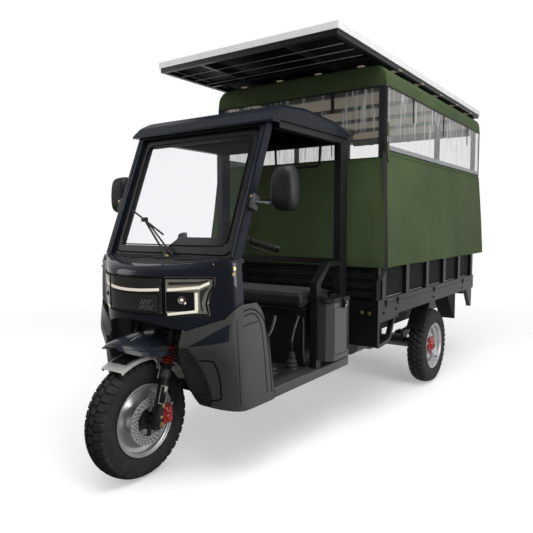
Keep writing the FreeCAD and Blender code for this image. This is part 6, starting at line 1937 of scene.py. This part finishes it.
# %% Grips, levers and brackets
def grip_and_lever(side):
    inner, outer = at(side * 233, 531, 1048), at(side * 351, 607, 1003)
    along = (outer - inner).normalized()
    aim = Matrix.Translation(inner) @ along.to_track_quat("Z", "Y").to_matrix().to_4x4()
    profile = [(0.0, 0.0), (0.0, 0.021), (0.004, 0.022), (0.006, 0.018)]
    for i in range(24):
        z = 0.008 + 0.0045 * i
        profile += [(z, 0.0182), (z + 0.0012, 0.0172), (z + 0.0032, 0.0172)]
    profile += [(0.118, 0.019), (0.121, 0.0205), (0.124, 0.019), (0.125, 0.0)]
    pieces = [moved(turned(profile, soft_rubber, "Z", 28), aim)]
    pieces.append(moved(slab((-0.021, -0.02, -0.046), (0.021, 0.02, -0.004), plastic, 0.006), aim))
    pieces.append(moved(slab((-0.014, -0.014, -0.078), (0.014, 0.014, -0.052), cast, 0.004), aim))
    start = inner - along * 0.055 + Vector((0, -0.024, -0.018))
    lever = [start, start + along * 0.03 + Vector((0, -0.022, 0)),
             start + along * 0.09 + Vector((0, -0.03, -0.002)),
             start + along * 0.165 + Vector((0, -0.022, -0.006))]
    pieces.append(swept(lever, 0.0052, powder, sides=10))
    ball = turned([(-0.008, 0), (-0.006, 0.005), (0, 0.008), (0.006, 0.005), (0.008, 0)], powder, "Z", 16)
    pieces.append(moved(ball, Matrix.Translation(lever[-1])))
    pieces.append(hexagon(start + Vector((0, 0, 0.006)), (0, 0, 1), 0.005, 0.005, silver))
    return joined("controls", pieces)


dressed([grip_and_lever(1), grip_and_lever(-1)], "bar_controls", "steering")

# %% [markdown]
# ## Bench seat
#
# The bench is foam under stretched vinyl, so its top crowns and its edges pull round. A slightly
# smaller block is blown up a little by the cloth solver, with a cap on how far any point may move.
# The top is then crowned, and piping is laid round it.


# %% Cushion
def puffed(thing, pressure, cap, frames=20):
    """Swells a closed shape with Blender's cloth solver; no point moves further than cap."""
    modified(thing, "REMESH", mode="VOXEL", voxel_size=0.006)
    before = [vertex.co.copy() for vertex in thing.data.vertices]
    solver = thing.modifiers.new("Cloth", "CLOTH")
    solver.settings.use_pressure = True
    solver.settings.uniform_pressure_force = pressure
    solver.settings.effector_weights.gravity = 0
    solver.settings.tension_stiffness = 25
    solver.settings.compression_stiffness = 25
    solver.point_cache.frame_start, solver.point_cache.frame_end = 1, frames
    scene = bpy.context.scene
    for number in range(1, frames + 1):
        scene.frame_set(number)
    applied(thing)
    scene.frame_set(1)
    for vertex, place in zip(thing.data.vertices, before):
        shift = vertex.co - place
        if shift.length > cap:
            vertex.co = place + shift.normalized() * cap
    return thing


cushion = slab(at(-388, 751, 701), at(388, 1062, 764), vinyl, 0.022, 5)
puffed(cushion, 4.0, 0.006)
low_edge, high_edge = at(0, 0, 696).z, at(0, 0, 771.5).z
for vertex in cushion.data.vertices:
    x = abs(vertex.co.x) / 0.393
    y = abs(vertex.co.y - at(0, 906, 0).y) / 0.161
    if vertex.co.z > 0.735:
        vertex.co.z += 0.006 * (1 - min(1, x) ** 6) * (1 - min(1, y) ** 4)
    vertex.co.z = max(low_edge, min(high_edge, vertex.co.z))
smoothed(cushion, 80)
dressed(cushion, "bench_cushion", "vehicle", ["seat_cushion"])

corners = [at(x, y, 756) for x, y in ((-386, 750), (386, 750), (386, 1063), (-386, 1063))]
dressed(looped(rounded(corners, 0.02, 4), 0.0028, vinyl), "bench_piping", "vehicle")

# %% [markdown]
# ## Floor and levers
#
# The cab's floor has a moulded mat with fine ribs across, which are one bar that the row tree
# repeats, and a few ribs along. Two levers rise from rubber boots in front of the seat, a low black
# one and a tall one with a bright upper half, and a bare cable tube stands behind them.

# %% Mat and levers
rib = slab(at(-376, 352, 377.6), at(376, 357, 379.8), soft_rubber, 0.0008, 1)
mat = [slab(at(-388, 344, 373.3), at(388, 800, 377.8), soft_rubber, 0.0015)]
mat.append(row(rib, 27, (0, 0.0165, 0), soft_rubber))
for x in (-250, -125, 0, 125, 250):
    mat.append(slab(at(x - 5, 348, 377.6), at(x + 5, 796, 380.2), soft_rubber, 0.0008, 1))
dressed(mat, "floor_mat", "vehicle")

lever = [at(340, 742, 520), at(345, 752, 575), at(350, 775, 618), at(352, 790, 650)]
hand_lever = [at(300, 612, 376), at(297, 608, 470), at(291, 600, 566), at(321, 600, 610), at(334, 600, 676)]
extras = [swept(lever, 0.0055, cast, sides=12), swept(hand_lever[:3], 0.0065, powder, sides=12),
          swept(hand_lever[2:], 0.0065, chrome, sides=12),
          swept([at(345, 735, 376), at(343, 738, 450), lever[0]], 0.0065, powder, sides=12)]
boot = [(0.0, 0.0), (0.0, 0.034), (0.012, 0.03), (0.02, 0.033), (0.032, 0.025), (0.04, 0.028),
        (0.056, 0.019), (0.064, 0.021), (0.09, 0.012), (0.092, 0.0)]
extras.append(moved(turned(boot, soft_rubber, "Z", 28), Matrix.Translation(at(345, 735, 378))))
shine = [at(372, 800, 640), at(374, 806, 560), at(372, 800, 480), at(374, 812, 400)]
extras.append(swept(shine, 0.004, cast, sides=10))
extras.append(moved(turned(boot[:6] + [(0.042, 0.0)], soft_rubber, "Z", 28),
                    Matrix.Translation(at(300, 612, 378))))
dressed(extras, "cab_levers", "vehicle")

# %% [markdown]
# ## Toolbox
#
# The toolbox beside the seat has a door outline pressed into its face, a rubber-lipped lid and a
# toggle latch. Lid and latch open together, so their details ride on the lid's body.

# %% Toolbox face, lid and latch
face = [at(700, y, z)
        for y, z in ((868, 692), (1010, 692), (1012, 560), (1013, 444), (872, 444), (870, 560))]
# A dark band round the door is painted shade for its pressed groove, and a grey band inside it is the groove's
# raised edge.
box_face = [inlaid("toolbox", rounded(face, 0.016), 4.5, line_dark, ASIDE, closed=True)]
box_face.append(inlaid("toolbox", rounded(face, 0.012), 1.4, shield_grey, ASIDE, closed=True, low=0.2,
                       high=1.1))
box_face.append(webbing([at(520.8, 1024, 452 + 30 * i) for i in range(9)], 9, line_dark, (0, 1, 0), 1.0))
dressed(box_face, "toolbox_lines", "vehicle")
lid_edge = [at(x, y, 724) for x, y in ((453, 831), (524, 831), (524, 1037), (453, 1037))]
toggle = [at(537, 957, 694), at(541, 957, 706), at(541, 973, 706), at(537, 973, 694)]
lid = [looped(rounded(lid_edge, 0.008, 3), 0.0035, soft_rubber),
       slab(at(533, 954, 688), at(538, 976, 726), powder, 0.002),
       swept(toggle, 0.0022, silver, order=2, resolution=1, sides=8),
       hexagon(at(537, 965, 718), (1, 0, 0), 0.004, 0.004, zinc)]
dressed(lid, "toolbox_lid_trim", "toolbox_lid_body")

# %% [markdown]
# ## Cargo box
#
# The sides are pressed sheet between a rail and a top tube. Carriage bolts fix the rail, and small
# black brackets hold the sheet's foot. The bays behind the posts lie in shade, so a thin panel with
# the matt black of the mudguards stands in each as painted shade, with a bright silver strip along its foot.

# %% Bolts, brackets and bays
# One matt black serves the mudguards' real underseal and the panels in the box's bays, which are painted shade.
underseal_and_bay_shade = finished("matt_black_underseal", "#101112", 0.75, tint=(90, 4, "#0b0c0d", "#191a1b"),
        Specular_IOR_Level=0.25)
painted_node("rear_mudguards", underseal_and_bay_shade)

BOX_FRONT, BAY, BAYS = 1286, 368, 5
box_bits = []
for side in (1, -1):
    for y, z in ((1309, 619), (1496, 621), (2177, 618), (2879, 615)):
        place, normal = sent("box_sides", at(side * 800, y, z), Vector((-side, 0, 0)))
        if abs(place.x) > 0.7:  # the ray missed the sheet, so the bolt sits on the rail's face
            place, normal = at(side * 604.8, y, z), Vector((side, 0, 0))
        box_bits.append(hexagon(place, normal, 0.0075, 0.006, powder))
    for y in (1337, 1515, 2186, 2890):
        box_bits.append(slab(at(side * 604.6, y - 15, 664), at(side * 609, y + 15, 690), line_dark, 0.002))
        box_bits.append(slab(at(side * 604.6, y - 8, 650), at(side * 608, y + 8, 668), line_dark, 0.002))
    for i in range(BAYS):
        y0, y1 = BOX_FRONT + BAY * i + 30, BOX_FRONT + BAY * (i + 1) - 30
        # A silver strip along each bay's foot, and over the bay a thin matt black panel that is painted shade.
        box_bits.append(slab(at(side * 581.2, y0, 701), at(side * 584, y1, 705), silver, 0.0008, 1))
        low, high = at(side * 581.1, y0 - 3, 700.5), at(side * 582.6, y1 + 3, 903.5)
        box_bits.append(slab(low, high, underseal_and_bay_shade, 0))
for x, z in ((507, 623), (551, 622), (-507, 623), (-551, 622)):
    box_bits.append(hexagon(at(x, 1225.5, z), (0, -1, 0), 0.0085, 0.007, zinc))
dressed(box_bits, "box_fixings", "vehicle")

# %% [markdown]
# ## Solar panel
#
# Seen from below a panel is a black backing sheet. Three white bars of its frame cross it over the
# cab, and the row tree lays them. Pads of pale cloth lie between the canopy and the frame.

# %% Backing sheet, bars and pads
BACKING_Z = 2047.6
BARS_Z = 2023.7
PADS_Z = 2024.3
backing = finished("black_backing_sheet", "#06070a", 0.5, tint=(120, 3, "#050609", "#0a0c10"),
        Specular_IOR_Level=0.15)
under = [slab(at(-548, 760, BACKING_Z + 1), at(548, 3276, BACKING_Z + 1.8), backing, 0)]
bar = slab(at(-545, 876.5, BARS_Z - 1.2), at(550, 880.5, BARS_Z), anodised, 0.0005, 1)
under.append(row(bar, 3, (0, 0.113, 0), anodised))
dressed(under, "panel_underside", "vehicle")

# The pads take the backing's faint glow, painted light where they lie in shade.
pads = []
for side in (1, -1):
    for y in (1500, 1880, 2260, 2640, 3020):
        pads.append(slab(at(side * 528, y, PADS_Z), at(side * 598, y + 42, 2030), lining, 0.002))
for x in (-420, -140, 140, 420):
    pads.append(slab(at(x, 1300, PADS_Z), at(x + 40, 1336, 2029), lining, 0.002))
dressed(pads, "canopy_pads", "vehicle")
print("box, panel and toolbox dressed")
